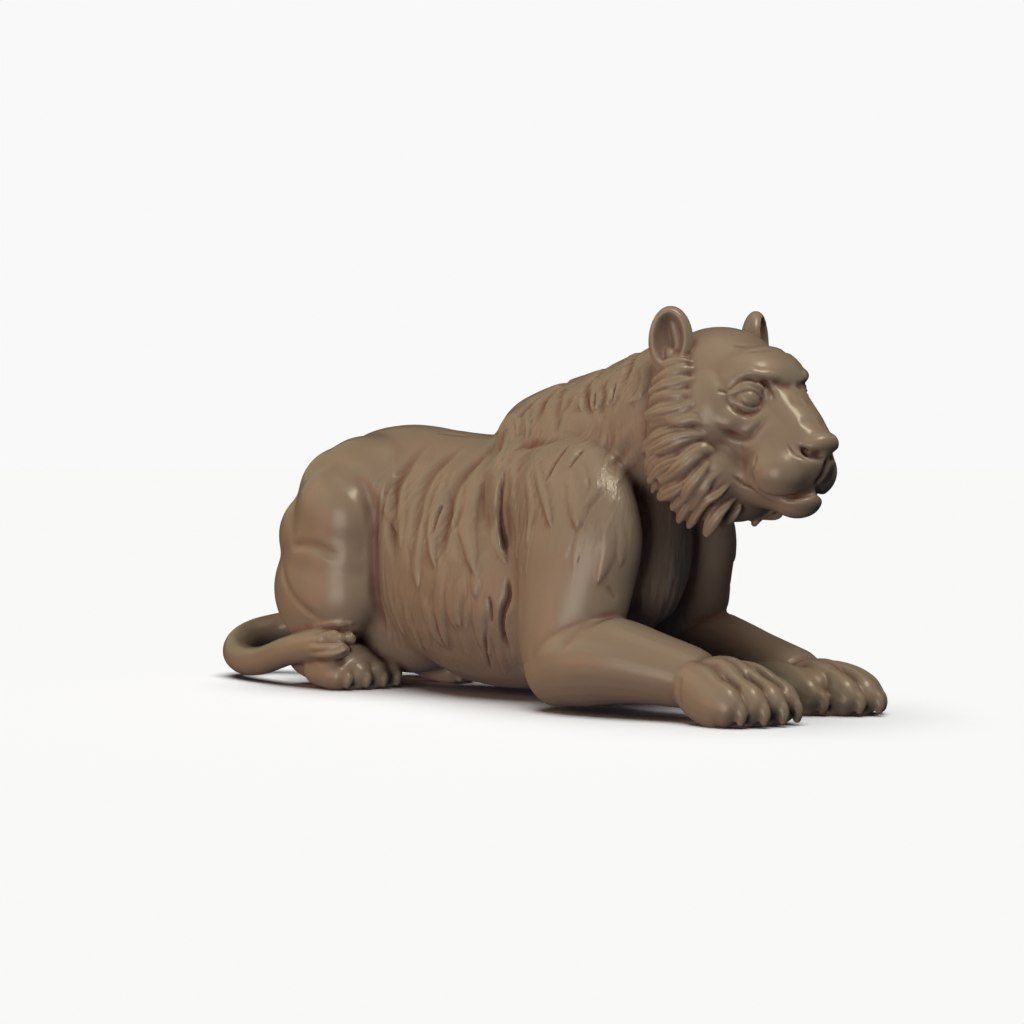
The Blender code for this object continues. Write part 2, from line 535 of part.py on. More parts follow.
clay = bpy.data.materials.new("taupe_clay")
clay.use_nodes = True
surface = clay.node_tree.nodes["Principled BSDF"]
surface.inputs["Base Color"].default_value = (0.23, 0.17, 0.12, 1)
surface.inputs["Roughness"].default_value = 0.45
body.data.materials.clear()
body.data.materials.append(clay)
body.name = NAME
body.data.name = NAME

figure = bpy.data.collections.new(NAME)
bpy.context.scene.collection.children.link(figure)
cutters = bpy.data.collections.new("cutters")
bpy.context.scene.collection.children.link(cutters)
for item, home in ((body, figure), (ground, cutters)):
    for holder in list(item.users_collection):
        holder.objects.unlink(item)
    home.objects.link(item)
ground.display_type = 'WIRE'
ground.hide_render = True
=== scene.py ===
"""Lying tiger, a tabletop figurine of cast clay-brown resin, dressed around its solid.

The figure is laid up as a sculptor does it: masses are pressed together and smoothed, strokes are
cut into them, and locks of fur are laid on. Rows of numbers are in millimetres as (forward, right,
up), from the ground under the chest, seen from the tiger.
"""
import math

import bmesh
import bpy
import numpy as np
from mathutils import Matrix, Vector, kdtree, noise
from mathutils.bvhtree import BVHTree


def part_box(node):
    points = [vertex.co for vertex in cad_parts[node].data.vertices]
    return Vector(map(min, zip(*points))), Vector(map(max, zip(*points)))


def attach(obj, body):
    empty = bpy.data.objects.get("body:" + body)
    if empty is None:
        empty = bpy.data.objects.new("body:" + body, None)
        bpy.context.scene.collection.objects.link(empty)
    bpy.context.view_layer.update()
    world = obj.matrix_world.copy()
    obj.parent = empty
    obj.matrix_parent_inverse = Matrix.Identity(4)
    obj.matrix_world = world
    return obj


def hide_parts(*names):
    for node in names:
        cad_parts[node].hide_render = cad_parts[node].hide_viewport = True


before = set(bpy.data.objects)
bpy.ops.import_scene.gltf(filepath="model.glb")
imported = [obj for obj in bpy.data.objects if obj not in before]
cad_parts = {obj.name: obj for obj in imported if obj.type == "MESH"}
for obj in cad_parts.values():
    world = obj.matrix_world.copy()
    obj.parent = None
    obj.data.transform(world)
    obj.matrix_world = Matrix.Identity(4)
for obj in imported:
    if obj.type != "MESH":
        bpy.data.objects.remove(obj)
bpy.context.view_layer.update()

bpy.ops.object.select_all(action='DESELECT')

MM = 0.001

# sizes that drive the figure, in millimetres and degrees
HEAD_TURN = 5.0      # the head is turned this much to the tiger's right
HEAD_PIVOT = 84.0    # forward place of that turn
PAW_SPREAD = 21.0    # forepaws, either side of the middle
LEFT_REACH = 4.0     # the left forepaw lies further forward,
LEFT_DROP = 3.0      # flatter
LEFT_CLOSE = 2.5     # and nearer the middle
EYE_RADIUS = 3.8
EYE_TURN = 37.0      # the eyes look forward and outward
EYE_SPOT = (100.4, 10, 86.9)
EAR_TURN = 48.0      # the ears open forward and outward,
LEFT_EAR_TURN = 33.0    # the left one less so
EAR_SPOT = (79.1, 17.6, 102.8)
EAR_ROOT = (80, 15.3, 95.5)
EAR_HALF = (4.4, 6.3, 10.0)
EAR_HOLLOW = (4.2, 4.3, 7.4)
TOE_RADIUS = 4.4
TOE_BACK = (22, 14, 8, 4.2, 2.2)    # places along a toe, back from its tip, and how high it is there
RIGHT_TOE_TOPS = (16.8, 16.6, 13.5, 12, 9.8)
LEFT_TOE_TOPS = (13.6, 14.3, 13, 11.2, 9)
CLAW_RADIUS = 1.5
BODY_GRAIN = 1.2     # grain of the skin over the big masses
FACE_GRAIN = 0.7
FINE_GRAIN = 0.4
HEAD_EDGE = 71.0     # the head lies forward of this
HEAD_LOW = 46.0      # and above this
PAW_EDGE = 84.0      # the forepaws lie forward of this
FACES_KEPT = {"rest": 98000, "head": 73000, "forepaws": 25000}
EASE = {"trunk": 16, "head": 22, "whole": 7, "features": 2}    # rounds of smoothing

# the coat: how high the broad locks stand, and how deep their bed is sunk
LOBE_LIFT = 0.95
FUR_BED = 0.25
FAR_SIDE_BACK = 2.5  # the strokes of the left side are set back by this
OUTSIDE = (74, 70, 140)    # forward, right and up of places outside the trunk
# painted shade darkens the folds and a painted highlight lightens the ridges: a narrow fold counts in full
# at the first depth, a wide one at the second
HOLLOW_DEPTH = 0.10
HOLLOW_ROUNDS = 6
VALLEY_DEPTH = 1.2
VALLEY_ROUNDS = 140

# camera: low, off the tiger's right front
CAMERA_YAW = 42.0    # ahead of the tiger's right side
CAMERA_RISE = 1.36
CAMERA_DISTANCE = 727.0
CAMERA_AIM = (0, -4, 54.5)
CAMERA_LENS = 84.375
FILM_WIDTH = 36

# colours
BODY_TONES = ("#928378", "#9a8c81")
# painted highlight: the lighter tone laid on the ridges
RIDGE_HIGHLIGHT_TONE = "#aea395"
# painted shade: the reddish-brown tone laid into the folds
FOLD_SHADE_TONE = "#6a4238"
FLOOR_TONE = "#f4f4f2"
BACKDROP_TONE = "#f9f9f9"
AIR_TONE = "#272730"

# studio light, each lamp by how far it is turned to the right of the camera and how high it stands, in
# degrees, its size in metres, power and colour: a key on the right, a fill on the left, and weak coloured
# ones around
LAMPS = [
    ("key", 30, 55, 0.24, 2.9, "#fff9dc"), ("fill", -30, -5, 0.4, 2.2, "#fff4e4"),
    ("warm_low", -65, -5, 0.4, 1, "#ffa573"), ("warm_back", -100, 25, 0.45, 0.85, "#ffcca0"),
    ("gold", 65, 55, 0.45, 0.7, "#ffb587"), ("top", 0, 90, 0.45, 0.5, "#ffe1bc"),
    ("left", -65, 25, 0.45, 0.5, "#daffcb"), ("cool", 100, 25, 0.45, 0.2, "#a0fff5"),
    ("back", -140, 25, 0.45, 0.28, "#f3ffcc"), ("rim", -100, -5, 0.45, 0.3, "#ffb600")]
LAMP_DISTANCE = 0.8
FLOOR_WASH = 3.22

# rows of (forward, right, up, half across, half deep)
TRUNK = [
    (-66, 0, 44, 16, 22), (-57, 0, 44, 20, 33.2), (-40, 0, 45, 22, 36.6), (-20, 0, 43.5, 23, 36),
    (0, 0, 42, 24, 36), (20, 0, 42, 24, 37), (38, 0, 45, 22, 36), (50, 0, 46, 18, 29), (57, 0, 46, 14, 24)]
BELLY = [
    (-34, 0, 45, 20, 28), (-20, 0, 40, 25, 31), (-4, 0, 34.5, 28, 32), (12, 0, 34, 28.3, 32),
    (26, 0, 38, 26, 31), (38, 0, 43, 22, 29)]
NECK = [
    (10, 0, 67.5, 12, 16.5), (17, 0, 70.5, 15.5, 19.6), (26, 0, 72.3, 17.5, 20.8), (38, 0, 75, 18.8, 20.8),
    (52, 0, 78, 19.5, 21.5), (66, 0, 82, 20, 22), (76, 0, 84, 18, 20)]
UPPER_ARM = [
    (32, 13, 68, 9, 14), (38, 18, 62, 11, 19), (47.5, 21, 51, 12.5, 21.5), (48, 22.5, 36, 13, 18.7),
    (47, 24.5, 23, 12.5, 16.2), (46.5, 25.5, 13, 11.5, 13)]
TAIL = [
    (-62, -4, 25, 6, 6), (-78, -6, 19.8, 5.3, 5.3), (-91, -6, 17, 5.1, 5.1), (-100.5, -1.5, 14.8, 5, 5),
    (-104.5, 5.5, 13, 5, 5), (-104, 12.5, 10.6, 5, 5), (-100, 18, 7.8, 4.8, 4.8),
    (-92, 21.8, 6, 4.7, 4.7),
    (-80, 25, 6.8, 4.5, 4.5), (-64, 28.5, 11, 4.6, 4.5), (-51, 29.3, 13.4, 5.2, 4.7),
    (-46, 29.2, 13.7, 4.6, 4)]
# lobes of the tuft at its end
TUFT_LOBES = [
    [(-51, 29.8, 12.3, 4.2, 3.2), (-43, 30, 12.2, 3.5, 2.9), (-38.6, 29.6, 12.3, 2.5, 2.2)],
    [(-51, 29, 15.4, 4, 2.8), (-45, 28.6, 15.8, 3.2, 2.3), (-41.2, 28.2, 15.9, 2.2, 1.7)],
    [(-47, 26, 15.3, 3, 2.5), (-40, 25.2, 15.6, 2, 2)]]
# hips, thighs and shoulder blade: (forward, right, up), (half sizes), pitch
FLESH = [
    ((-46, 11.5, 60.2), (21.5, 14, 17.9), 0), ((-49.5, 21, 53), (15.5, 11.5, 16), -15),
    ((-55.5, 21, 30), (20, 12, 19), 6), ((-61.3, 17.5, 46.5), (14.2, 12.5, 14.6), 0),
    ((-53, 20.9, 42), (17.5, 11.7, 17), 0), ((22, 10, 74), (15, 8, 12), 20),
    ((-38, 0, 20), (22, 17, 16.5), 0),
    ((22, 17.5, 60), (13, 7.5, 15), 0), ((-56.6, 13, 58.4), (15, 12.5, 16), 0)]

# the head, before it is turned
MUZZLE = [
    (86, 0, 81, 18, 16), (93, 0, 79.5, 16.3, 14), (99, 0, 77.5, 14.2, 12.8), (105, 0, 74.8, 11.6, 11.6),
    (110, 0, 72.2, 9.8, 9.8), (114, 0, 70, 8.2, 7.5)]
NOSE_BRIDGE = [
    (99, 0, 91.5, 10, 5), (104.5, 0, 87.6, 8, 4.8), (108.6, 0, 83.4, 7.4, 4.6), (112, 0, 79.7, 7, 4.5),
    (114.4, 0, 76.8, 6.8, 4.2)]
JAW = [(86, 0, 70, 17, 12), (94, 0, 67, 14.5, 9), (101, 0, 63.5, 10.5, 7), (107, 0, 60.5, 7.5, 5)]
# (forward, right, up), (half sizes), pitch: skull, forehead, nose leather, chin and throat
SKULL = [
    ((81.6, 0, 87.2), (21, 19.6, 20.1)), ((95.1, 0, 91.3), (13.2, 15, 10.9)),
    ((115.6, 0, 73.4), (7.2, 6.8, 4.1), -25), ((109.5, 0, 59.8), (7.2, 6.8, 5.4)),
    ((87, 0, 64.5), (12.5, 15, 11.5))]
# upper lip, whisker pad, cheek bone, temple and side of the jaw
CHEEK = [
    ((107.9, 6.1, 67.3), (8.8, 7.5, 7.8), 0), ((105.5, 5.8, 73), (8.5, 6, 6), 0),
    ((94, 11.8, 80.5), (8, 6, 5.5), -15), ((88, 14, 84), (10, 6.5, 12), 0),
    ((89, 11.5, 67), (8.5, 6.5, 11), 15)]
# the brow from its outer end, and the bed of the ruff from the ear down, in rows as for the trunk
BROW = [
    (97.9, 11.7, 92.4, 2.1, 2.1), (101.4, 10.1, 93.4, 2.6, 2.6), (103, 8.6, 92.9, 2.7, 2.7),
    (104.9, 6.1, 93.1, 2.4, 2.3), (105.6, 3.9, 92.6, 2.1, 1.9), (105.8, 1.2, 92, 1.8, 1.5)]
RUFF = [
    (81, 16, 96, 4.5, 5), (80.5, 17, 87, 5.5, 9), (80.5, 17, 76, 5.5, 10), (83, 15.5, 66, 5.5, 10.5),
    (84, 12.5, 60.5, 5, 8.5), (82, 9.5, 57.5, 4, 5.5)]


def at(forward, right, up):
    """figurine millimetres to world metres"""
    return Vector((-right, -forward, up)) * MM


def rows_of(body, kind):
    """the points of a body, co, or their outward directions, normal, as rows"""
    rows = np.empty(len(body.data.vertices) * 3)
    body.data.vertices.foreach_get(kind, rows)
    return rows.reshape(-1, 3)


def move_to(body, place):
    """moves the points of a body"""
    body.data.vertices.foreach_set("co", place.ravel())
    body.data.update()


def on_side(points, side, on_head):
    """rows of (forward, right, up) as world points of one side, turned with the head if they lie on it"""
    turn = Matrix.Rotation(math.radians(-HEAD_TURN), 4, 'Z')
    pivot = at(HEAD_PIVOT, 0, 0)
    line = []
    for forward, right, up in points:
        point = at(forward, right * side, up)
        line.append(tuple(pivot + turn @ (point - pivot) if on_head else point))
    return np.array(line)


def lump(place, half, pitch=0, yaw=0, side=1):
    """ellipsoid mass; half sizes run forward, right and up"""
    bpy.ops.mesh.primitive_uv_sphere_add(segments=32, ring_count=16, radius=1)
    body = bpy.context.object
    turn = Matrix.Rotation(math.radians(yaw), 4, 'Z') @ Matrix.Rotation(math.radians(pitch), 4, 'X')
    size = Matrix.Diagonal((half[1] * MM, half[0] * MM, half[2] * MM, 1))
    forward, right, up = place
    body.data.transform(Matrix.Translation(at(forward, right * side, up)) @ turn @ size)
    return body


def smooth_rows(rows, steps):
    """finer rows on a curve through the given ones"""
    p = np.asarray(rows, float)
    p = np.vstack([2 * p[0] - p[1], p, 2 * p[-1] - p[-2]])
    fine = []
    for i in range(1, len(p) - 2):
        a, b, c, d = p[i - 1:i + 3]
        for k in range(steps):
            t = k / steps
            fine.append(b + 0.5 * ((c - a) * t + (2 * a - 5 * b + 4 * c - d) * t ** 2
                                   + (3 * b - a - 3 * c + d) * t ** 3))
    fine.append(p[-2])
    return np.array(fine)


def tube(rows, side=1, steps=6, sides=24, across=(1, 0, 0)):
    """round mass along rows of (forward, right, up, half across, half deep), domed at its ends"""
    fine = smooth_rows(rows, steps)
    centre = np.stack([-fine[:, 1] * side, -fine[:, 0], fine[:, 2]], 1)
    half = np.maximum(fine[:, 3:5], 0.05)
    run = np.gradient(centre, axis=0)
    run /= np.linalg.norm(run, axis=1)[:, None]
    rings = list(zip(centre, run, half))
    for angle in (25, 50, 75):
        a = math.radians(angle)
        small = half[0] * math.cos(a)
        rings.insert(0, (centre[0] - run[0] * math.sin(a) * half[0].min() * 0.8, run[0], small))
        small = half[-1] * math.cos(a)
        rings.append((centre[-1] + run[-1] * math.sin(a) * half[-1].min() * 0.8, run[-1], small))
    mesh = bmesh.new()
    loops = []
    for middle, along, size in rings:
        first = np.array(across, float) - along * np.dot(across, along)
        first /= np.linalg.norm(first)
        second = np.cross(along, first)
        loop = []
        for k in range(sides):
            a = 2 * math.pi * k / sides
            point = middle + first * math.cos(a) * size[0] + second * math.sin(a) * size[1]
            loop.append(mesh.verts.new(Vector(point) * MM))
        loops.append(loop)
    for lower, upper in zip(loops, loops[1:]):
        for k in range(sides):
            n = (k + 1) % sides
            mesh.faces.new((lower[k], lower[n], upper[n], upper[k]))
    mesh.faces.new(loops[0][::-1])
    mesh.faces.new(loops[-1])
    bmesh.ops.recalc_face_normals(mesh, faces=mesh.faces)
    data = bpy.data.meshes.new("mass")
    mesh.to_mesh(data)
    mesh.free()
    body = bpy.data.objects.new("mass", data)
    bpy.context.scene.collection.objects.link(body)
    return body


def pick(body):
    """selects one body alone"""
    bpy.ops.object.select_all(action='DESELECT')
    bpy.context.view_layer.objects.active = body
    body.select_set(True)


def apply_all(body):
    """applies what waits on a body"""
    pick(body)
    for change in list(body.modifiers):
        bpy.ops.object.modifier_apply(modifier=change.name)


def skin(masses, grain, rounds):
    """one smooth skin over masses pressed together"""
    bpy.ops.object.select_all(action='DESELECT')
    for mass in masses:
        mass.select_set(True)
    bpy.context.view_layer.objects.active = masses[0]
    bpy.ops.object.join()
    body = bpy.context.object
    wrap = body.modifiers.new("skin", 'REMESH')
    wrap.mode = 'VOXEL'
    wrap.voxel_size = grain * MM
    relax = body.modifiers.new("relax", 'SMOOTH')
    relax.factor = 0.5
    relax.iterations = rounds
    apply_all(body)
    return body


def turned(masses):
    """the head's turn about the neck"""
    pivot = at(HEAD_PIVOT, 0, 0)
    turn = Matrix.Rotation(math.radians(-HEAD_TURN), 4, 'Z')
    for mass in masses:
        mass.data.transform(Matrix.Translation(pivot) @ turn @ Matrix.Translation(-pivot))
    return masses


def carve(body, strokes, on_head, sides=(1, -1)):
    """presses strokes (points, half width, depth) into the skin; a depth below zero raises it"""
    place = rows_of(body, "co")
    normal = rows_of(body, "normal")
    shift = np.zeros(len(place))
    for points, half_width, depth in strokes:
        for side in sides:
            line = on_side(smooth_rows(points, 4) if len(points) > 1 else points, side, on_head)
            reach = half_width * MM
            low = line.min(0) - reach
            high = line.max(0) + reach
            near = np.nonzero(((place > low) & (place < high)).all(1))[0]
            soft = np.zeros(len(near))
            count = max(len(line) - 1, 1)
            for k, (a, b) in enumerate(zip(line, line[1:] if len(line) > 1 else line)):
                run = b - a
                t = np.clip((place[near] - a) @ run / max(run @ run, 1e-12), 0, 1)
                away = np.linalg.norm(place[near] - a - t[:, None] * run, axis=1)
                share = (k + t) / count
                fade = np.minimum(1, np.minimum(share, 1 - share) * 4 + 0.2) if len(line) > 1 else 1
                soft = np.maximum(soft, np.clip(1 - (away / reach) ** 2, 0, 1) ** 2 * fade)
            soft *= depth * MM
            if depth > 0:
                shift[near] = np.maximum(shift[near], soft)
            else:
                shift[near] = np.minimum(shift[near], soft)
    move_to(body, place - normal * shift[:, None])


def part_of(place):
    """name of the region a place lies in"""
    if place[1] < -HEAD_EDGE * MM and place[2] > HEAD_LOW * MM:
        return "head"
    if place[1] < -PAW_EDGE * MM:
        return "forepaws"
    return "rest"


def trunk_masses():
    """trunk, belly, neck, the back of the skull, upper arms and flesh"""
    masses = [tube(TRUNK), tube(BELLY), tube(NECK), turned([lump((81.3, 0, 87), (21, 20, 20.7))])[0]]
    for side in (1, -1):
        masses.append(tube(UPPER_ARM, side))
        masses += [lump(*mass, side=side) for mass in FLESH]
    return masses


def toe(tip, right, middle, side):
    """long toe that ends at tip and stands on the ground, with the claw that hooks down from it"""
    tops = RIGHT_TOE_TOPS if side > 0 else LEFT_TOE_TOPS
    lean = right - middle
    r = TOE_RADIUS
    c = CLAW_RADIUS
    rows = []
    for back, top, turn, wide in zip(TOE_BACK, tops, (0.62, 0.86, 1, 1, 1), (0.9, 1, 1.02, 1, 0.92)):
        deep = 5 if back > 14 else (top - 1.5) / 2 if back == 14 else top / 2 + 0.3
        rows.append((tip - back, middle + lean * turn, top - deep, r * wide, deep))
    height = tops[3]
    claw = [(tip - 1, right, height * 0.52, c, c), (tip + 1, right, height * 0.47, c * 1.1, c * 1.1),
            (tip + 1.8, right, height * 0.29, c, c), (tip + 1.5, right, 1.4, c * 0.8, c * 0.8)]
    return [tube(rows, side, 3, 16), tube(claw, side, 3, 12)]


def left_or_right(side):
    """reach, drop and closeness of a forepaw"""
    return (0, 0, 0) if side > 0 else (LEFT_REACH, LEFT_DROP, LEFT_CLOSE)


def toe_spots(side):
    """toe tips of a forepaw, from the outer one, as (forward, right)"""
    if side > 0:
        return [(110, 30.3), (113.8, 25.1), (115.6, 19.2), (115.6, 13)]
    return [(117, 25.5), (119.5, 20.5), (116.5, 15.5), (108.5, 9.5)]


def toe_grooves(side):
    """furrows between the toes of a forepaw"""
    tops = RIGHT_TOE_TOPS if side > 0 else LEFT_TOE_TOPS
    middle = PAW_SPREAD - left_or_right(side)[2]
    spots = toe_spots(side)
    strokes = []
    for (tip, right), (next_tip, next_right) in zip(spots, spots[1:]):
        end = (tip + next_tip) / 2
        r = (right + next_right) / 2
        back = middle + (r - middle) * 0.86
        points = [(end - 14.5, back, tops[1] + 0.6), (end - 11, (back + r) / 2, tops[1] - 0.6),
                  (end - 7, r, tops[2] - 1), (end - 3.5, r, tops[3] - 1.4), (end - 1.5, r, tops[4] / 2)]
        strokes.append((points, 2.3, 1.1))
    return strokes


def forelegs():
    """forearms, and paws with their toes"""
    masses = []
    for side in (1, -1):
        reach, drop, close = left_or_right(side)
        middle = PAW_SPREAD - close
        arm = [(44.5, 26, 11.5, 10.8, 11), (54, 26.5, 14.5, 12.5, 13),
               (66, 26 - close * 0.4, 15 - drop * 0.45, 12, 12 - drop * 0.3),
               (78, 24.5 - close * 0.7, 13.5 - drop * 0.45, 10.5, 10 - drop * 0.3),
               (89 + reach, 22.5 - close, 11.5 - drop * 0.6, 9.5, 8.5 - drop * 0.3)]
        masses.append(tube(arm, side))
        ball = (97.5 + reach, middle, 8.4 - drop * 0.6)
        masses.append(lump(ball, (11.5, 11.3, 9.5 - drop * 0.4), -12, side=side))
        for tip, right in toe_spots(side):
            masses += toe(tip, right, middle, side)
    return masses


def hind_feet():
    """hind feet with toes and claws"""
    masses = []
    for side in (1, -1):
        reach = 0 if side > 0 else 6
        foot = [(-66 + reach, 19, 9.4, 6.5, 7), (-56 + reach, 20, 8.6, 9, 8.4),
                (-46 + reach, 20, 6.9, 10, 7.2), (-42 + reach, 20, 6, 9.5, 6)]
        masses.append(tube(foot, side))
        for tip, right in [(-40.5, 27.5), (-37.6, 22), (-35.8, 16.5), (-35.6, 11)]:
            tip += reach
            rows = [(tip - 13, right * 0.97, 6.4, 4.4, 5.6), (tip - 5, right, 5.1, 4.6, 5.3),
                    (tip - 1.3, right, 4.3, 4.1, 4.4)]
            claw = lump((tip + 1.8, right, 2.9), (1.3, 1.4, 2.6), 14, side=side)
            masses += [tube(rows, side, 3, 14), claw]
    return masses


def face_masses():
    """skull, muzzle, jaw and cheeks"""
    masses = [tube(MUZZLE), tube(NOSE_BRIDGE), tube(JAW)] + [lump(*mass) for mass in SKULL]
    for side in (1, -1):
        masses += [lump(*mass, side=side) for mass in CHEEK]
    return masses


def facing(middle, degrees, inward, up, ahead):
    """place beside a middle, seen along a level line that is turned outward by degrees"""
    a = math.radians(degrees)
    forward = middle[0] + ahead * math.cos(a) + inward * math.sin(a)
    return (forward, middle[1] + ahead * math.sin(a) - inward * math.cos(a), middle[2] + up)


def strips(rows, middle, degrees, side):
    """round strips along rows of (inward, up, ahead, half thick, half tall) beside a middle"""
    masses = []
    for strip in rows:
        line = [facing(middle, degrees, *row[:3]) + row[3:] for row in strip]
        masses.append(tube(line, side, 4, 12))
    return masses


def ear(side):
    """cupped ear: a flat ellipsoid hollowed toward its open side, with the folds in its cup"""
    turn, inward = (EAR_TURN, -0.6) if side > 0 else (LEFT_EAR_TURN, 0.7)
    yaw = -side * turn
    shell = lump(EAR_SPOT, EAR_HALF, yaw=yaw, side=side)
    hollow = lump(facing(EAR_SPOT, turn, inward, 1, 3.6), EAR_HOLLOW, yaw=yaw, side=side)
    cut = shell.modifiers.new("hollow", 'BOOLEAN')
    cut.operation = 'DIFFERENCE'
    cut.solver = 'EXACT'
    cut.object = hollow
    apply_all(shell)
    bpy.data.objects.remove(hollow, do_unlink=True)
    return [skin([shell] + strips(EAR_FOLDS, EAR_SPOT, turn, side), FACE_GRAIN * 0.6, 6)]


def eye(side):
    """eyeball with lids laid over it as strips"""
    ball = lump(EYE_SPOT, (EYE_RADIUS,) * 3, side=side)
    return [ball] + strips(LIDS, EYE_SPOT, EYE_TURN, side)


def ruff_locks(side):
    """pointed locks that sweep back from the cheek over the ruff, each half sunk in it"""
    masses = []
    for radius, points in RUFF_LOCKS:
        rows = []
        for k, (forward, right, up) in enumerate(points):
            if side < 0 and forward > 84 and up < 57:
                up = 57 - (57 - up) * 0.35
            share = k / (len(points) - 1)
            r = radius * (0.3, 0.95, 1.1, 0.6)[round(share * 3)]
            out = Vector((right, 0.55 * (up - 76))).normalized() * r * (-0.1 if k else -0.35)
            rows.append((forward, right + out.x, up + out.y, r * 0.75, r * 1.2))
        masses.append(tube(rows, side, 4, 12))
    return masses


def features():
    """ruff, ears, brows, eyes and the locks of the ruff"""
    masses = []
    for side in (1, -1):
        masses.append(tube(RUFF, side))
        masses += ear(side)
        masses.append(lump(EAR_ROOT, (6, 5, 5), side=side))
        masses.append(tube(BROW, side, 6, 14))
        masses += eye(side)
        masses += ruff_locks(side)
    return masses


# locks of the ruff from the ear down to the chin: half thickness, (forward, right, up) from root to tip
RUFF_LOCKS = [
    (0.9, [(86, 17, 97.5), (84, 19, 97.5), (80.5, 20.5, 97), (77.5, 21, 95.5)]),
    (1.3, [(87, 17.5, 95.5), (85, 19.5, 95), (81.5, 21, 94), (75, 20.5, 92)]),
    (1.7, [(88.5, 18.5, 92.5), (85.5, 20.5, 91.5), (81.5, 22, 90.5), (75, 21.5, 89)]),
    (1.3, [(89, 19.5, 89), (85.5, 21.5, 88), (81, 22.5, 88), (75.5, 22, 86.5)]),
    (2.2, [(90, 20, 86.5), (85.5, 21.5, 84.5), (80.5, 22.5, 83.5), (74, 22, 82.5)]),
    (1.3, [(91, 20, 84), (87, 21, 82.5), (83, 22.5, 81.5), (75.5, 22, 80)]),
    (1.4, [(93, 19, 80), (90, 20.5, 81.5), (86.5, 22, 81), (83, 22.5, 80.5)]),
    (1.5, [(89, 20, 79), (84, 22, 78.5), (78, 22.5, 76.5), (72.5, 21.5, 74.5)]),
    (2.1, [(92.5, 18.5, 77.5), (87.5, 21, 77), (82.5, 22.5, 75), (74.5, 22, 72.5)]),
    (2.3, [(93.5, 16.5, 73), (90.5, 19, 73), (86.5, 21, 69.5), (78.5, 21, 65)]),
    (1.7, [(89.5, 19.5, 72.5), (84, 21.5, 70.5), (78, 21.5, 68), (73, 20, 64.5)]),
    (1.9, [(92.5, 17.5, 69.5), (90.5, 19, 66.5), (87, 19.5, 62.5), (83.5, 18, 58.5)]),
    (1.3, [(96, 15, 68), (93, 17, 65.5), (90.5, 18, 62.5), (87, 18, 59)]),
    (1.5, [(96.5, 13, 64), (94, 15, 61.5), (91, 16.5, 59.5), (87, 16, 55)]),
    (1.9, [(89, 19.5, 66), (84, 20, 63), (79.5, 19.5, 61.5), (75.5, 18.5, 60)]),
    (1.5, [(86.5, 19.5, 62.5), (85, 19, 61), (82, 18, 59), (79, 17, 57)]),
    (1.5, [(87.5, 18, 59.5), (85, 17.5, 58), (82.5, 16.5, 56), (79.5, 15, 53.5)]),
    (1.5, [(90, 16.5, 58.5), (88, 16, 57), (85, 15, 54.5), (82, 13.5, 52)]),
    (1.9, [(95.5, 9.5, 60), (92.5, 12.5, 56.5), (90, 13, 53), (87, 12, 50)]),
    (1.3, [(96, 7.5, 57.5), (93.5, 7.5, 55.5), (90.5, 7, 54), (87, 5.5, 52)]),
    (1.7, [(80, 22, 73), (77, 22, 71), (74, 21, 69), (71, 19, 66.5)]),
    (1.4, [(79.5, 22.5, 77.5), (77, 22, 76), (74, 21.5, 74.5), (71, 20.5, 72.5)]),
    (1.3, [(78, 20.5, 67), (76, 19.5, 65.5), (74, 18.5, 63.5), (71.5, 17, 61.5)]),
    (1.3, [(93.5, 16.5, 65.5), (92, 17.5, 63), (89.5, 17.5, 60.5), (86.5, 17, 57)])]

# upper lid and its edge, lower lid and its edge, from the outer corner of the eye
LIDS = [
    [(-5.4, 1.3, 0.4, 0.6, 0.7), (-4.4, 1.7, 1, 0.8, 1), (-2.7, 3, 1.5, 1, 1.2), (-0.5, 3.6, 1.7, 1.1, 1.3),
     (1.6, 3.2, 1.7, 1.1, 1.1), (3.2, 1.8, 1.5, 0.9, 0.8), (4.1, -0.3, 1.2, 0.6, 0.5)],
    [(-4.2, 0.8, 1.1, 0.35, 0.35), (-2.6, 2.1, 2.2, 0.5, 0.5), (-0.9, 2.6, 2.7, 0.55, 0.5),
     (0.9, 2.5, 2.7, 0.55, 0.5), (2.4, 1.7, 2.4, 0.5, 0.5), (3.5, 0.2, 1.9, 0.45, 0.45),
     (4, -1.3, 1.4, 0.35, 0.35)],
    [(-5, 0, 0.7, 0.5, 0.6), (-3.2, -1.7, 1.5, 0.8, 0.9), (-1, -3, 1.9, 0.9, 1), (1.4, -3.3, 1.8, 0.9, 1),
     (3.4, -2.8, 1.5, 0.8, 0.9), (4.9, -2.3, 1, 0.5, 0.6)],
    [(-4.1, 0.3, 1.1, 0.35, 0.35), (-2.5, -1.4, 2.3, 0.45, 0.45), (-0.5, -2.4, 2.8, 0.5, 0.45),
     (1.7, -2.5, 2.4, 0.5, 0.45), (3.2, -2, 1.8, 0.45, 0.4), (4.3, -1.5, 1.3, 0.3, 0.3)]]
EAR_FOLDS = [
    [(0.2, 5.6, 0.2, 0.5, 0.5), (1, 3.2, 0, 0.8, 0.8), (1.8, 0, 0.2, 0.9, 0.9), (1.6, -2, 0.6, 0.6, 0.6)],
    [(-0.4, -2.2, 0.2, 0.7, 0.7), (-0.2, -3.6, 0.8, 1, 1), (0.2, -5, 1.2, 0.9, 0.9)]]

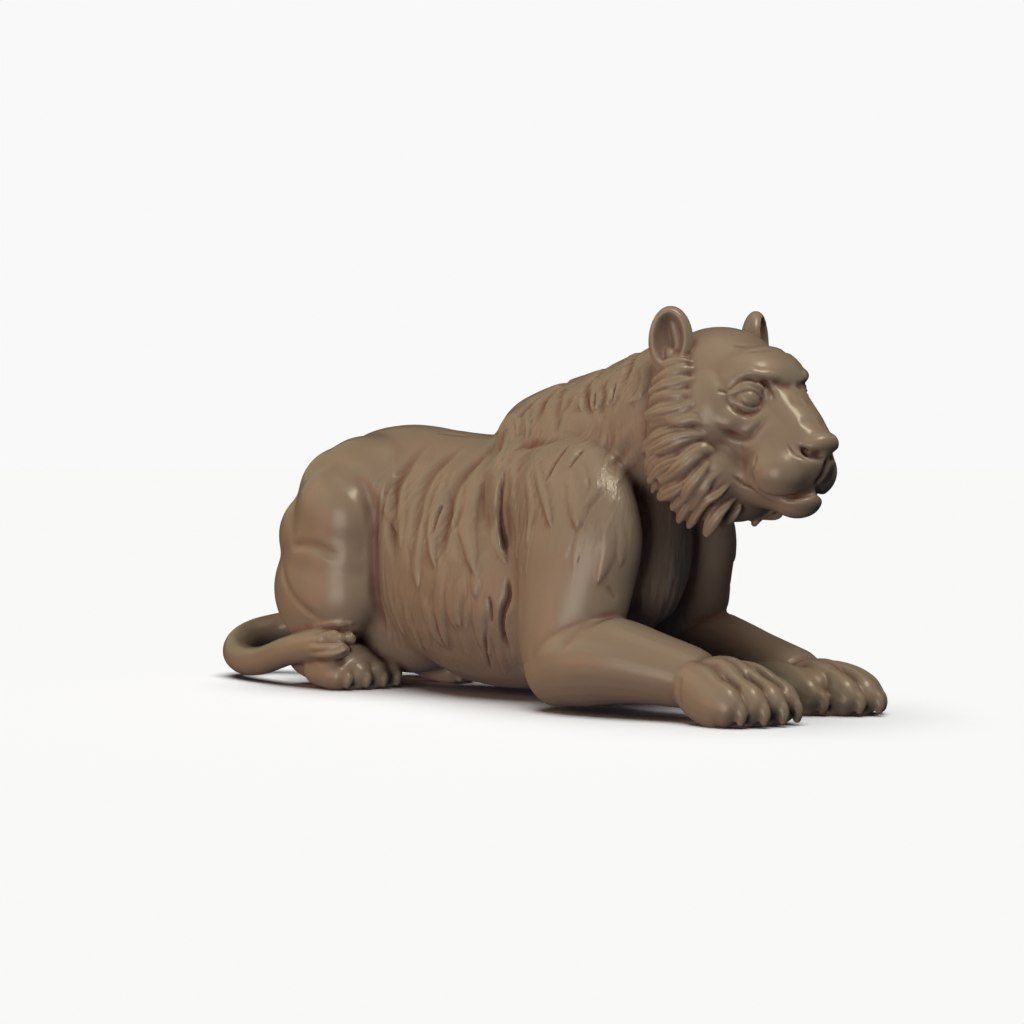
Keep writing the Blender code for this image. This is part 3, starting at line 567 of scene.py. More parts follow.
# carved lines: (points), half width, depth
FACE_CUTS = [
    ([(116.5, 0.5, 62.4), (113.5, 4.5, 60.9), (110, 7.6, 61), (106.5, 9.8, 62.6),
      (104.6, 11.2, 65.8)], 2, 2),
    ([(121.3, 0, 71), (118, 0, 66.5), (117, 0, 63)], 1.6, 1.3),
    ([(115.6, 6.2, 73.8), (117.5, 5.7, 72.4), (119, 4.9, 71.8), (119.9, 3.5, 71.6), (120.5, 2.2, 70.9)],
     1.9, 2),
    ([(98.5, 13, 91.2), (101.4, 10.9, 93.1), (103.4, 9, 92.5), (104.7, 7.3, 90.7), (105.3, 5.9, 88.5),
      (106, 4.9, 86.1)], 1.9, 1.7),
    ([(105, 6, 91), (106.8, 2.8, 90), (107.6, 0, 89.8)], 2.6, 0.7),
    ([(94, 16.8, 81), (97, 15.2, 78.6), (100, 13.2, 76.6), (102.6, 12, 76.4), (105, 10.6, 79),
      (106.6, 9.4, 81.4)], 2, 1.5),
    ([(100, 13.5, 76), (101.5, 13.5, 70), (103.5, 12.3, 66), (106.5, 9.8, 62.6)], 2.2, 0.9),
    ([(102.3, 12.2, 86.9)], 5.6, 2.4)]
# finer strokes, cut last: mouth, nostril, inner corner of the eye, and the crease under the brow
FACE_LINES = [
    ([(116.2, 1.5, 61.6), (113.5, 4.6, 60.7), (110, 7.6, 61), (106.6, 9.7, 62.6), (104.8, 11.1, 65.4)],
     1, 0.7),
    ([(115.8, 6, 73.6), (117.2, 5.4, 72.4), (118.7, 4.6, 71.8), (119.6, 3.3, 71.5), (120.3, 2.2, 70.9)],
     1.2, 1.3),
    ([facing(EYE_SPOT, EYE_TURN, 3, 0.7, 2.1), facing(EYE_SPOT, EYE_TURN, 3.4, -0.4, 1.8),
      facing(EYE_SPOT, EYE_TURN, 3.3, -1.3, 1.7)], 0.7, 0.8),
    ([(100.5, 12.9, 92.4), (103, 10.9, 92.6), (104.9, 9.1, 91.8), (106, 7.8, 90.3), (106.7, 7.2, 88.4),
      (107.6, 7, 86.2)], 1.7, 0.9),
    ([(105.4, 7.6, 91.4), (107, 5.3, 90.8), (108, 3, 90.4), (108.4, 1.2, 90.4)], 1.5, 0.4)]

BODY_CUTS = [
    ([(-41, 23.5, 67), (-35.5, 23, 61), (-33, 22.5, 52), (-33, 22, 40), (-33.5, 21, 30.5),
      (-33.5, 17.5, 21.5)], 3.6, 1.2),
    ([(-63, 28.5, 42), (-56, 31, 44.5), (-48.5, 30.5, 44), (-43.5, 28.5, 41), (-40, 25, 40.5),
      (-36, 23, 43.5)], 3, 0.8),
    ([(23.5, 24.5, 70), (23.5, 26, 59), (22, 24, 50), (24.5, 25.5, 43)], 3.2, 1.4),
    ([(56, 38.5, 18), (59, 36, 23), (63.5, 30.5, 26.5), (65, 23.5, 27.5)], 2.4, 0.6)]

# fur and wrinkles, which the solid leaves off: half width, height, (forward, right, up) from root to tip
LOBES = [
    (3.9, 0.95, [(-11.7, 15.3, 69.7), (-13.5, 19.9, 61.3), (-14.7, 22.6, 52.3), (-12.1, 25.6, 43.5),
                 (-9.6, 27, 32.7)]),
    (2.2, 0.9, [(-6.2, 15.9, 68.8), (-7.5, 20.5, 59.9), (-7.8, 22.8, 52.5), (-5.3, 25.8, 45.2),
                (-2.1, 27.5, 39.1)]),
    (3.4, 0.7, [(-4, 16.9, 67.3), (0.8, 21.2, 58.5), (1.6, 24.1, 50.3)]),
    (3.6, 1.05, [(4.8, 13.3, 71.8), (5.9, 20.1, 61.5), (6.6, 23, 52.7), (11.1, 26.5, 44.2),
                 (14.1, 27.7, 37.6)]),
    (3.2, 0.7, [(17.4, 18.4, 74.4), (18.2, 23.6, 66.8), (18.2, 24.4, 58.2), (19.4, 24.1, 48.9),
                (24, 25.7, 41)]),
    (3, 0.8, [(-29.7, 17.2, 68.7), (-29.8, 20, 62.7), (-27.9, 21.1, 56.6), (-23, 22.6, 48.6)]),
    (2.6, 0.6, [(-24.5, 16.5, 68), (-23.5, 20, 60), (-21.6, 22, 52), (-19.5, 23.8, 44)]),
    (2.4, 0.7, [(-26.6, 22.9, 35.8), (-26.1, 21.7, 27.3), (-23.7, 18.1, 17.5)]),
    (2.2, 0.7, [(-18.1, 24.9, 31.8), (-17.1, 23.4, 22.6), (-15.8, 17.4, 13.7)]),
    (2.5, 0.75, [(-8.6, 27.1, 31.8), (-6.7, 26.6, 26), (-5.3, 24.6, 19.4), (-3.7, 22.4, 15.2)]),
    (2.5, 0.8, [(1.4, 26.9, 43.3), (0, 28, 31.6), (-0.9, 26.2, 22.7), (-1.8, 22.3, 14.7)]),
    (2.4, 0.7, [(10.4, 27.9, 37.2), (7.4, 28.1, 30.7), (5.8, 27.3, 25.4), (7.4, 26, 21.3)]),
    (2.4, 0.6, [(3.9, 28.3, 33.8), (4.2, 27.8, 27.9), (4.9, 26, 21.2)]),
    (2.6, 0.7, [(14.8, 27.5, 30.2), (14.2, 25.2, 20.4), (13.2, 20.7, 12.5)]),
    (2, 0.6, [(20.5, 27, 32.3), (22.6, 25.8, 26.6), (20.6, 23.6, 18.9)]),
    (1.6, 0.5, [(14.7, 27, 41.4), (13.9, 27.9, 35.6), (14.5, 27.7, 30.4)]),
    (3.8, 0.8, [(20.1, 17.4, 77.9), (23.8, 22.5, 70.3), (24.2, 23.8, 61.7), (29.4, 26.9, 52.7),
                (32.5, 29.5, 42.8)]),
    (1.9, 0.6, [(31.9, 25.4, 67.5), (37.6, 30.2, 59.1), (39.3, 32.9, 46.5)]),
    (1.9, 0.8, [(36.2, 26.1, 69.8), (43, 30.8, 61.4), (48.3, 33.4, 52)]),
    (3.8, 1, [(50.9, 26.5, 69.3), (55.6, 30, 61.5), (57.1, 32.3, 51.7)]),
    (1.9, 0.8, [(56.8, 26.7, 67.6), (59.9, 27.8, 63.2), (57.5, 31, 56.7)]),
    (2.4, 0.8, [(62.2, 28.9, 57.7), (64.6, 28.3, 53.9), (65.1, 28.9, 45.7), (62.7, 30.3, 36.6)]),
    (1.8, 0.5, [(66, 26.5, 55.5), (67.6, 25.9, 48.4), (67, 26, 41.2)])]

# tips of the neck's fur, and the tuft that the tail ends in
TIPS = [
    (0.9, 0.7, [(43.8, 14.9, 89.7), (44.6, 16.7, 86.8), (46.4, 18, 84.2)]),
    (0.9, 0.8, [(47.4, 15.7, 89.6), (48.9, 17.4, 86.7), (50.5, 18.4, 84.4)]),
    (0.9, 0.8, [(51.3, 15.9, 90.7), (52.5, 17.8, 87.2), (51.6, 18.5, 84.7)]),
    (1, 0.8, [(55.3, 16.2, 91.7), (56.7, 18, 88.6), (56.4, 18.9, 85.5)]),
    (1, 0.7, [(58.7, 16, 93.3), (59.4, 18.1, 89.3), (59.1, 19.1, 86)]),
    (1.2, 0.6, [(17.6, 13.8, 84.3), (20.8, 16.5, 80.8), (21.4, 17.6, 77.3)]),
    (1.2, 0.6, [(20.8, 13, 85.5), (24.5, 16.3, 80.7), (24.9, 17.6, 76.7)]),
    (1.6, 0.7, [(63.8, 13.4, 97.7), (68.1, 16.1, 94.2), (67.8, 18.4, 89.2), (64.4, 19.4, 85.9)]),
    (2.2, 0.5, [(67.4, 19.6, 81.4), (61.5, 19.3, 75.9), (59.5, 23.8, 68.6)]),
    (2, 0.5, [(70.3, 18.8, 75.9), (63.4, 18.3, 69.8), (63.8, 23.3, 64.2)])]
TUFT = [
    (1.3, 0.9, [(-50.1, 34.8, 15.3), (-45.3, 33.9, 17.3), (-43.2, 30.8, 19.4), (-40.8, 26.9, 19.3)]),
    (1.3, 0.9, [(-51.4, 34.8, 12.2), (-44.4, 34.7, 14.1), (-39, 32.7, 15.8), (-36.2, 29.2, 16.9)]),
    (1.3, 0.9, [(-51, 33.5, 9.7), (-44.2, 33.3, 10.7), (-39.4, 32, 11.7), (-35.8, 29.6, 13.3)]),
    (1.2, 0.7, [(-52, 29.5, 19.5), (-46, 29, 20.3), (-40, 27, 20), (-35.5, 25, 17.5)])]

# dark slits between the locks: half width, depth, points
SLITS = [
    (1.3, 1.7, [(22, 23.5, 67.4), (21, 24.5, 58.8), (20.3, 23.3, 51.8), (21.6, 23.4, 47.2),
                (23.5, 24.6, 42.5)]),
    (1.4, 1.9, [(25.2, 26.1, 36.5), (25.4, 25.9, 31.3), (23.2, 25.7, 26.6), (21.5, 24.2, 20.7),
                (21.4, 21, 15)]),
    (0.8, 0.9, [(18.8, 27.2, 31.1), (19.4, 26.6, 27.1), (18.4, 25.5, 22.6)]),
    (0.8, 0.9, [(16.2, 25.3, 21.1), (12.9, 21.2, 13.1), (10.7, 17.2, 8.6)]),
    (0.9, 1.1, [(-4.9, 21.3, 57.6), (-6.2, 22.5, 53.5), (-5.8, 24.6, 48)]),
    (0.8, 0.9, [(-26, 19.8, 62.5), (-27, 21, 58), (-26.6, 22, 53)]),
    (1, 1.1, [(51.5, 23.1, 73.7), (50.1, 28.3, 68.1)]),
    (0.9, 0.9, [(46.4, 23.2, 74.9), (43, 29.9, 64.5)]),
    (0.7, 0.9, [(49.3, 16.4, 90), (50.6, 17.9, 85.2)]),
    (0.7, 0.9, [(53.3, 16.4, 91), (54.6, 18.4, 86)]),
    (0.8, 0.8, [(57.3, 16.2, 92.4), (58, 18.6, 87)])]

# soft creases: borders of the big lobes, folds of skin and the edges of muscles
CREASES = [
    (3.6, 1.2, [(-20.7, 9.5, 76), (-24.5, 17.2, 69.4), (-26, 21, 60.3), (-25.5, 23.4, 49),
                (-22.5, 25.5, 38)]),
    (3.6, 1.4, [(-5.5, 9.2, 75.5), (-12.5, 17.5, 68.8), (-14.8, 21.4, 60), (-14.5, 24, 48.8),
                (-12.6, 25.5, 37.5)]),
    (3.6, 1.4, [(7.5, 9, 76), (0.5, 18, 68.5), (-2, 22, 59.5), (-1.4, 24.6, 48), (1.5, 27, 37)]),
    (3.2, 1, [(17, 9, 79), (11.5, 17, 72), (10.5, 21, 62), (12.5, 24, 52)]),
    (2.6, 1.2, [(28.5, -5, 92.8), (29.2, 5, 92.6), (28.6, 9.8, 90.6), (27.2, 11.6, 87.4),
                (27.8, 13.8, 83.8), (29, 15.7, 80.2)]),
    (2.2, 0.7, [(39.6, 13.5, 89.9), (38.7, 15.9, 86), (36.8, 16.3, 82.7), (37.7, 18.7, 78.2)]),
    (2.2, 0.7, [(22.1, 10.4, 87.9), (20.1, 13.1, 84.9), (20.9, 15.7, 82.3)]),
    (2.2, 0.7, [(52.2, 13.5, 94.1), (52.2, 15.5, 91.2), (53.2, 17.6, 87.6), (54.3, 18.9, 83.8),
                (55.4, 19.3, 80.9)]),
    (2.6, 1.2, [(44.2, -5, 96.7), (45, 5, 96.5), (45.2, 10.6, 94.2), (44.2, 13.2, 90.6), (46.6, 16.3, 87.8),
                (48.7, 17.8, 84.8), (50.8, 18.7, 81.6)]),
    (2.6, 1.2, [(57, -5, 100.8), (57.8, 5, 100.6), (58.5, 10.8, 98.7), (59.9, 13.6, 96.2),
                (60.9, 15.3, 93.3), (62.8, 17, 90)]),
    (2.6, 0.8, [(31.7, 6, 93.6), (34.3, 14.4, 87.6), (38.1, 18.7, 78.9)]),
    (2.2, 0.7, [(44.1, 21.3, 76.6), (34, 20.5, 76), (24.7, 19.1, 74.4), (22.7, 23.4, 67.4)]),
    (2.8, 0.6, [(-31.3, 21.2, 58.1), (-33.3, 21.3, 48.9), (-34, 21.1, 39.8), (-34.7, 19.6, 27.5),
                (-33.5, 15.6, 15.1)]),
    (2, 0.6, [(-26.5, 17.3, 67.2), (-29.4, 20.9, 58.1), (-30.9, 21.6, 49)]),
    (2.2, 0.25, [(55.8, 38.3, 18.2), (62.3, 35.3, 23.3), (63.8, 29.8, 25.9), (65, 24.4, 27)]),
    (1.5, 0.4, [(64.2, 28.7, 36), (65.2, 25.6, 31.8)]),
    (3.2, 0.4, [(-48.5, 25.6, 67.2), (-38.8, 25.7, 61.7), (-35, 22.6, 54.4), (-34.4, 22, 47.4)]),
    (3.2, 0.3, [(-61.3, 29.7, 51.6), (-57.2, 30.2, 44), (-45.7, 28.4, 42.7), (-38.9, 23.1, 42.1)]),
    (2.2, 0.5, [(-66.1, 29.1, 39.1), (-59.2, 32.6, 30.1), (-51.1, 31.8, 23.7), (-45, 29.1, 20.8)]),
    (1.3, 0.5, [(-22.5, 5.3, 78.8), (-16, 5.1, 78.2), (-9, 5, 77.5)]),
    (1.6, 0.35, [(93.1, 30.9, 13.1), (93.1, 31.7, 7.9), (93.5, 30.5, 4.3)])]

# fine folds of the face, before the head is turned
FACE_FOLDS = [
    (2.6, 0.3, [(110.4, 4.5, 86), (112.3, 0, 86.3)]),
    (2.6, 0.3, [(114.4, 5, 80), (116.7, 0, 80.2)]),
    (1.5, 0.35, [(93, 8, 101.5), (97, 4, 102), (98, 0, 102.2)]),
    (1.5, 0.35, [(98, 8, 98), (101, 4, 99.5), (102, 0, 99.8)]),
    (0.8, 0.45, [(113.4, 8.2, 75), (114, 8.1, 73.4), (115.5, 7.7, 71.8), (117.1, 6.7, 70.8),
                 (118.4, 5.3, 69.8)]),
    (1, 0.5, [(98, 13.6, 66.5), (100.6, 12.2, 63), (104, 9.6, 60.8)]),
    (0.8, 0.35, [(104.6, 11.6, 66), (105.6, 11.6, 69), (105.4, 12, 72)])]

# folds round the eye, as (inward, up, ahead) from the middle of the eyeball
EYE_FOLDS = [
    (0.5, 0.35, [(-3.4, 0.6, 1.8), (-2.4, 1.6, 2.4), (-0.9, 2.1, 3), (0.9, 2, 3.1), (2.3, 1.2, 2.8),
                 (3, -0.1, 2.3)]),
    (0.5, 0.35, [(-3.4, 0.3, 1.8), (-2.3, -0.9, 2.9), (-0.5, -2, 3.2), (1.7, -2.1, 2.7), (3, -1.4, 1.9)]),
    (0.8, 0.35, [(-8.4, 1.9, -0.6), (-6.8, 1.9, 0.2), (-5.4, 1.6, 0.8)]),
    (0.7, 0.35, [(-4.4, -0.9, 1.4), (-2.6, -2.8, 2), (-1, -3.8, 2.3), (1.9, -4.2, 2.3), (4.6, -3.6, 1.8)]),
    (0.8, 0.3, [(-4.9, -2, 1.2), (-3.1, -4, 1.8), (-0.5, -5.2, 2.1), (3.4, -5, 2)]),
    (0.8, 0.45, [(-5.6, 2, 0.6), (-2.9, 4.3, 1.4), (-0.2, 5.1, 1.7), (2.3, 4.3, 1.8), (3.9, 2.1, 1.6),
                 (4.9, -0.8, 1.4)])]


def nodes_of(line):
    """share along a line of points at which each segment starts"""
    steps = np.linalg.norm(np.diff(line, axis=0), axis=1)
    return np.concatenate([[0], np.cumsum(steps)]) / max(steps.sum(), 1e-9)


class Skin:
    """points of a body and their outward directions, in cells, so that those near a line are found fast"""
    CELL = 0.004

    def __init__(self, body):
        self.place = rows_of(body, "co")
        self.out = rows_of(body, "normal")
        cell = self.cell_of(self.place)
        self.key = (cell[:, 0] << 24) + (cell[:, 1] << 12) + cell[:, 2]
        self.order = np.argsort(self.key, kind='stable')
        self.sorted = self.key[self.order]
        edges = np.empty(len(body.data.edges) * 2, dtype=np.int64)
        body.data.edges.foreach_get("vertices", edges)
        self.edges = edges.reshape(-1, 2)
        self.friends = np.bincount(edges, minlength=len(self.place))
        faces = [tuple(face.vertices) for face in body.data.polygons]
        self.tree = BVHTree.FromPolygons([tuple(p) for p in self.place], faces)

    def cell_of(self, place):
        """cell that a place lies in, as three whole numbers above zero"""
        return np.floor(place / self.CELL).astype(np.int64) + 512

    def near(self, low, high):
        """points in the cells that a box touches"""
        a, b = self.cell_of(low), self.cell_of(high)
        found = []
        for x in range(a[0], b[0] + 1):
            for y in range(a[1], b[1] + 1):
                first = (x << 24) + (y << 12) + a[2]
                last = (x << 24) + (y << 12) + b[2]
                i, j = np.searchsorted(self.sorted, (first, last + 1))
                found.append(self.order[i:j])
        return np.concatenate(found)

    def drape(self, line):
        """a line laid on the skin"""
        return np.array([self.tree.find_nearest(Vector(point))[0] for point in line])

    def measure(self, line, reach):
        """points near a line, how far off it they are and their share along it"""
        index = self.near(line.min(0) - reach, line.max(0) + reach)
        spot = self.place[index]
        away = np.full(len(index), 1.0)
        share = np.zeros(len(index))
        marks = nodes_of(line)
        for k in range(len(line) - 1):
            run = line[k + 1] - line[k]
            t = np.clip((spot - line[k]) @ run / max(run @ run, 1e-14), 0, 1)
            d = np.linalg.norm(spot - line[k] - t[:, None] * run, axis=1)
            nearer = d < away
            away[nearer] = d[nearer]
            share[nearer] = (marks[k] + t * (marks[k + 1] - marks[k]))[nearer]
        kept = away < reach
        return index[kept], away[kept], share[kept]

    def eased(self, values, rounds):
        """values at the points, averaged with their neighbours' a number of times"""
        first, second = self.edges.T
        count = len(self.place)
        for _ in range(rounds):
            total = values.copy()
            for axis in range(values.shape[1]):
                total[:, axis] = (np.bincount(first, values[second, axis], count)
                                  + np.bincount(second, values[first, axis], count)) / self.friends
            values = (values + total) / 2
        return values

    def sunk(self, rounds):
        """how far each point lies below the skin as it would be after rounds of easing"""
        return ((self.eased(self.place, rounds) - self.place) * self.out).sum(1)

    def lay_locks(self, locks, along, power):
        """height of locks of fur, each (line from root to tip, half width, height); the highest one shows.
        Along is their rise at root, third, nine tenths and tip; power tells how square they are across"""
        lift = np.zeros(len(self.place))
        for line, half, height in locks:
            index, away, share = self.measure(line, half * MM)
            wide = half * MM * np.interp(share, (0, 0.25, 0.6, 0.88, 1), (0.5, 0.9, 1, 0.6, 0.15))
            rise = np.interp(share, (0, 0.35, 0.9, 1), along)
            across = np.clip(1 - (away / wide) ** 2, 0, 1) ** power
            lift[index] = np.maximum(lift[index], height * MM * rise * across)
        return lift

    def press(self, lines):
        """depth of creases, each (line, half width, depth), pointed at both ends; the deepest one shows"""
        sink = np.zeros(len(self.place))
        for line, half, depth in lines:
            index, away, share = self.measure(line, half * MM)
            fade = np.minimum(1, np.minimum(share, 1 - share) * 4 + 0.05)
            across = np.clip(1 - away / (half * MM), 0, 1)
            across = across * across * (3 - 2 * across)
            sink[index] = np.maximum(sink[index], depth * MM * fade * across)
        return sink


def ramp(value, low, high):
    """0 below low, 1 above high, and a soft step between"""
    t = np.clip((value - low) / (high - low), 0, 1)
    return t * t * (3 - 2 * t)


def fur_share(place):
    """how furry the coat is at points: neck, shoulders, chest and flanks, but not the limbs or the head"""
    forward, right, up = -place[:, 1] / MM, -place[:, 0] / MM, place[:, 2] / MM
    share = ramp(forward, -38, -28) * (1 - ramp(forward, 68, 76)) * ramp(up, 3, 12)
    on_leg = ramp(forward, 24, 34) * ramp(np.abs(right), 13, 17) * (1 - ramp(up, 44, 56))
    on_top = ramp(up, 70, 78) * (1 - ramp(forward, 5, 20))
    return share * (1 - on_leg) * (1 - 0.8 * on_top)


def lie(place, out):
    """way the fur lies at a place: back along the spine, down the sides and the chest"""
    top = max(out[2], 0)
    way = np.array([np.sign(place[0]) * 0.5 * top, 0.18 + 0.8 * top, -1 + 0.6 * top])
    way -= out * (way @ out)
    return way / max(np.linalg.norm(way), 1e-6)


def combed(skin, start, length, swing):
    """line of a lock that starts at a place and follows the lie of the coat, swung to one side by swing"""
    line = [np.array(start)]
    steps = 5
    for _ in range(steps):
        spot, out, _, _ = skin.tree.find_nearest(Vector(line[-1]))
        out = np.array(out)
        way = lie(np.array(spot), out)
        way = way + np.cross(out, way) * swing
        ahead = Vector(np.array(spot) + way * length * MM / steps)
        line.append(np.array(skin.tree.find_nearest(ahead)[0]))
    return np.array(line)


def seeds(skin, rng, spacing):
    """places all over the coat, about spacing apart"""
    front, beside, above = OUTSIDE
    rays = []
    for forward in np.arange(-36, 76, spacing):
        for up in np.arange(8, 104, spacing):
            rays += [((forward, beside * sign, up), (1, 0, 1), (sign, 0, 0)) for sign in (1, -1)]
    for forward in np.arange(-30, 76, spacing):
        rays += [((forward, right, above), (1, 1, 0), (0, 0, -1)) for right in np.arange(-16, 17, spacing)]
    for right in np.arange(-14, 15, spacing):
        rays += [((front, right, up), (0, 1, 1), (0, 1, 0)) for up in np.arange(22, 54, spacing)]
    found = []
    for start, shaken, way in rays:
        start = np.array(start, float)
        start[np.nonzero(shaken)] += rng.uniform(-0.5, 0.5, 2) * spacing
        place, out, _, _ = skin.tree.ray_cast(at(*start), Vector(way))
        if place is not None and (way[2] == 0 or out.z > 0.6):
            found.append(place)
    share = fur_share(np.array([tuple(place) for place in found]))
    return [place for place, keep in zip(found, share) if keep > 0.5]


def coat(skin, spacing, length, half, height, bare):
    """strands combed over neck, shoulders, chest and flanks, in patches; a higher bare leaves more out"""
    rng = np.random.default_rng(11)
    strands = []
    for place in seeds(skin, rng, spacing):
        swing = 0.35 * noise.noise(place * 45) + rng.uniform(-0.1, 0.1)
        size = rng.uniform(0.7, 1.3)
        if noise.noise(place * 60 + Vector((0, 9, 0))) > bare:
            strands.append((combed(skin, place, length * size, swing), half * size, height * size))
    return strands


def hand_laid(skin, rows, on_head=False):
    """strokes of both sides, laid on the skin; the far side's are set back a little"""
    laid = []
    for half, height, points in rows:
        for side in (1, -1):
            back = 0 if side > 0 or on_head else FAR_SIDE_BACK
            moved = [(f - back, r, u) for f, r, u in points]
            laid.append((skin.drape(on_side(smooth_rows(moved, 4), side, on_head)), half, height))
    return laid


def eye_folds():
    """folds round the eye as rows on the head"""
    return [(half, depth, [facing(EYE_SPOT, EYE_TURN, *point) for point in points])
            for half, depth, points in EYE_FOLDS]


def ruff_strands():
    """grooves along the ruff's locks"""
    rows = []
    for radius, points in RUFF_LOCKS:
        if radius < 1.5:
            continue
        for offset in (-0.45, 0.5):
            line = [(f, r * 1.04, u + offset * radius) for f, r, u in points[:3]]
            f, r, u = points[3]
            line.append((f, r * 1.02, u + offset * radius * 0.4))
            rows.append((0.55, 0.3, line))
    return rows


def thin_by_region(body):
    """head, forepaws and the rest are thinned apart, to their own number of triangles"""
    for name, kept in FACES_KEPT.items():
        group = body.vertex_groups.new(name=name)
        group.add([v.index for v in body.data.vertices if part_of(v.co) == name], 1.0, 'REPLACE')
        total = sum(len(face.vertices) - 2 for face in body.data.polygons)
        there = sum(len(face.vertices) - 2 for face in body.data.polygons if part_of(face.center) == name)
        thin = body.modifiers.new("thin", 'DECIMATE')
        thin.ratio = min(1, (total - there + kept) / total)
        thin.vertex_group = name
        apply_all(body)
        body.vertex_groups.clear()


def store_values(body, source, values):
    """writes named values at each point of the body, from the nearest of the source places"""
    tree = kdtree.KDTree(len(source))
    for k, place in enumerate(source):
        tree.insert(place, k)
    tree.balance()
    index = np.array([tree.find(v.co)[1] for v in body.data.vertices])
    for name, value in values.items():
        layer = body.data.attributes.new(name, 'FLOAT', 'POINT')
        layer.data.foreach_set("value", value[index].astype(np.float32))


def sculpt():
    """the tiger as one skin, with its coat and its folds; stand cuts its soles flat"""
    body = skin(trunk_masses(), BODY_GRAIN, EASE["trunk"])
    face = skin(turned(face_masses()), FACE_GRAIN, EASE["head"])
    limbs = forelegs() + hind_feet() + [tube(TAIL, across=(0, 0, 1))]
    limbs += [tube(lobe) for lobe in TUFT_LOBES]
    body = skin([body, face] + limbs, FINE_GRAIN, EASE["whole"])
    carve(body, BODY_CUTS, False)
    carve(body, FACE_CUTS, True)
    carve(body, toe_grooves(1), False, (1,))
    carve(body, toe_grooves(-1), False, (-1,))
    body = skin([body] + turned(features()), FINE_GRAIN, EASE["features"])
    carve(body, FACE_LINES, True)

    hide = Skin(body)
    furry = fur_share(hide.place)
    lobes = hide.lay_locks(hand_laid(hide, LOBES + TIPS + TUFT), along=(0.1, 0.7, 0.9, 0.7), power=0.9)
    wisps = coat(hide, spacing=6.5, length=14, half=1.4, height=0.22, bare=0.05)
    wisps = hide.lay_locks(wisps, along=(0, 0.7, 1, 0.6), power=0.8)
    strands = coat(hide, spacing=2.6, length=9, half=0.55, height=0.13, bare=0)
    strands = hide.lay_locks(strands, along=(0, 1, 0.6, 0), power=1)
    folds = hand_laid(hide, FACE_FOLDS + eye_folds() + ruff_strands(), True)
    sink = hide.press(hand_laid(hide, SLITS + CREASES) + folds)
    hide.place += hide.out * (LOBE_LIFT * lobes + wisps + strands - FUR_BED * MM * furry - sink)[:, None]
    hide.place = hide.eased(hide.place, 1)
    hollow = hide.sunk(HOLLOW_ROUNDS) / (HOLLOW_DEPTH * MM)
    valley = hide.sunk(VALLEY_ROUNDS) / (VALLEY_DEPTH * MM)
    move_to(body, hide.place)
    # painted shade: how much each point in a fold or hollow is darkened, deeper and wider hollows more
    crease_shade = np.clip(0.5 * hollow + 0.85 * valley, 0, 1)
    # painted highlight: how much each point on a ridge is lightened
    ridge_highlight = np.clip(-0.6 * hollow - 0.25 * valley, 0, 1)
    thin_by_region(body)
    store_values(body, hide.place, {"crease_shade": crease_shade, "ridge_highlight": ridge_highlight, "fur": furry})
    return body


def stand(body):
    """cuts the soles flat at the ground and sets the figure where its solid stands"""
    pick(body)
    bpy.ops.object.mode_set(mode='EDIT')
    bpy.ops.mesh.select_all(action='SELECT')
    bpy.ops.mesh.bisect(plane_co=(0, 0, 0), plane_no=(0, 0, 1), use_fill=True, clear_inner=True,
                        threshold=1e-6)
    bpy.ops.object.mode_set(mode='OBJECT')
    low, high = np.array(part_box("tiger_figurine"))
    place = rows_of(body, "co")
    shift = (low + high) / 2 - (place.min(0) + place.max(0)) / 2
    shift[2] = low[2] - place[:, 2].min()
    move_to(body, np.clip(place + shift, low, high))
    for face in body.data.polygons:
        face.use_smooth = True
    return Vector(shift)


def paint(code):
    """sRGB hex colour as linear values"""
    parts = [int(code[i:i + 2], 16) / 255 for i in (1, 3, 5)]
    return tuple(c / 12.92 if c <= 0.04045 else ((c + 0.055) / 1.055) ** 2.4 for c in parts) + (1.0,)


def add(tree, kind, settings=None, inputs=None):
    """adds a node, sets its properties, and fills its sockets with values or other nodes' outputs"""
    node = tree.nodes.new(kind)
    for name, value in (settings or {}).items():
        setattr(node, name, value)
    for name, value in (inputs or {}).items():
        if isinstance(value, bpy.types.NodeSocket):
            tree.links.new(value, node.inputs[name])
        else:
            node.inputs[name].default_value = value
    return node


def blend(tree, share, low, high):
    """a colour that goes from low to high as the share goes from 0 to 1"""
    return add(tree, "ShaderNodeMix", {"data_type": 'RGBA'}, {0: share, 6: low, 7: high}).outputs[2]


def times(tree, first, second):
    """product of two values"""
    return add(tree, "ShaderNodeMath", {"operation": 'MULTIPLY'}, {0: first, 1: second}).outputs[0]


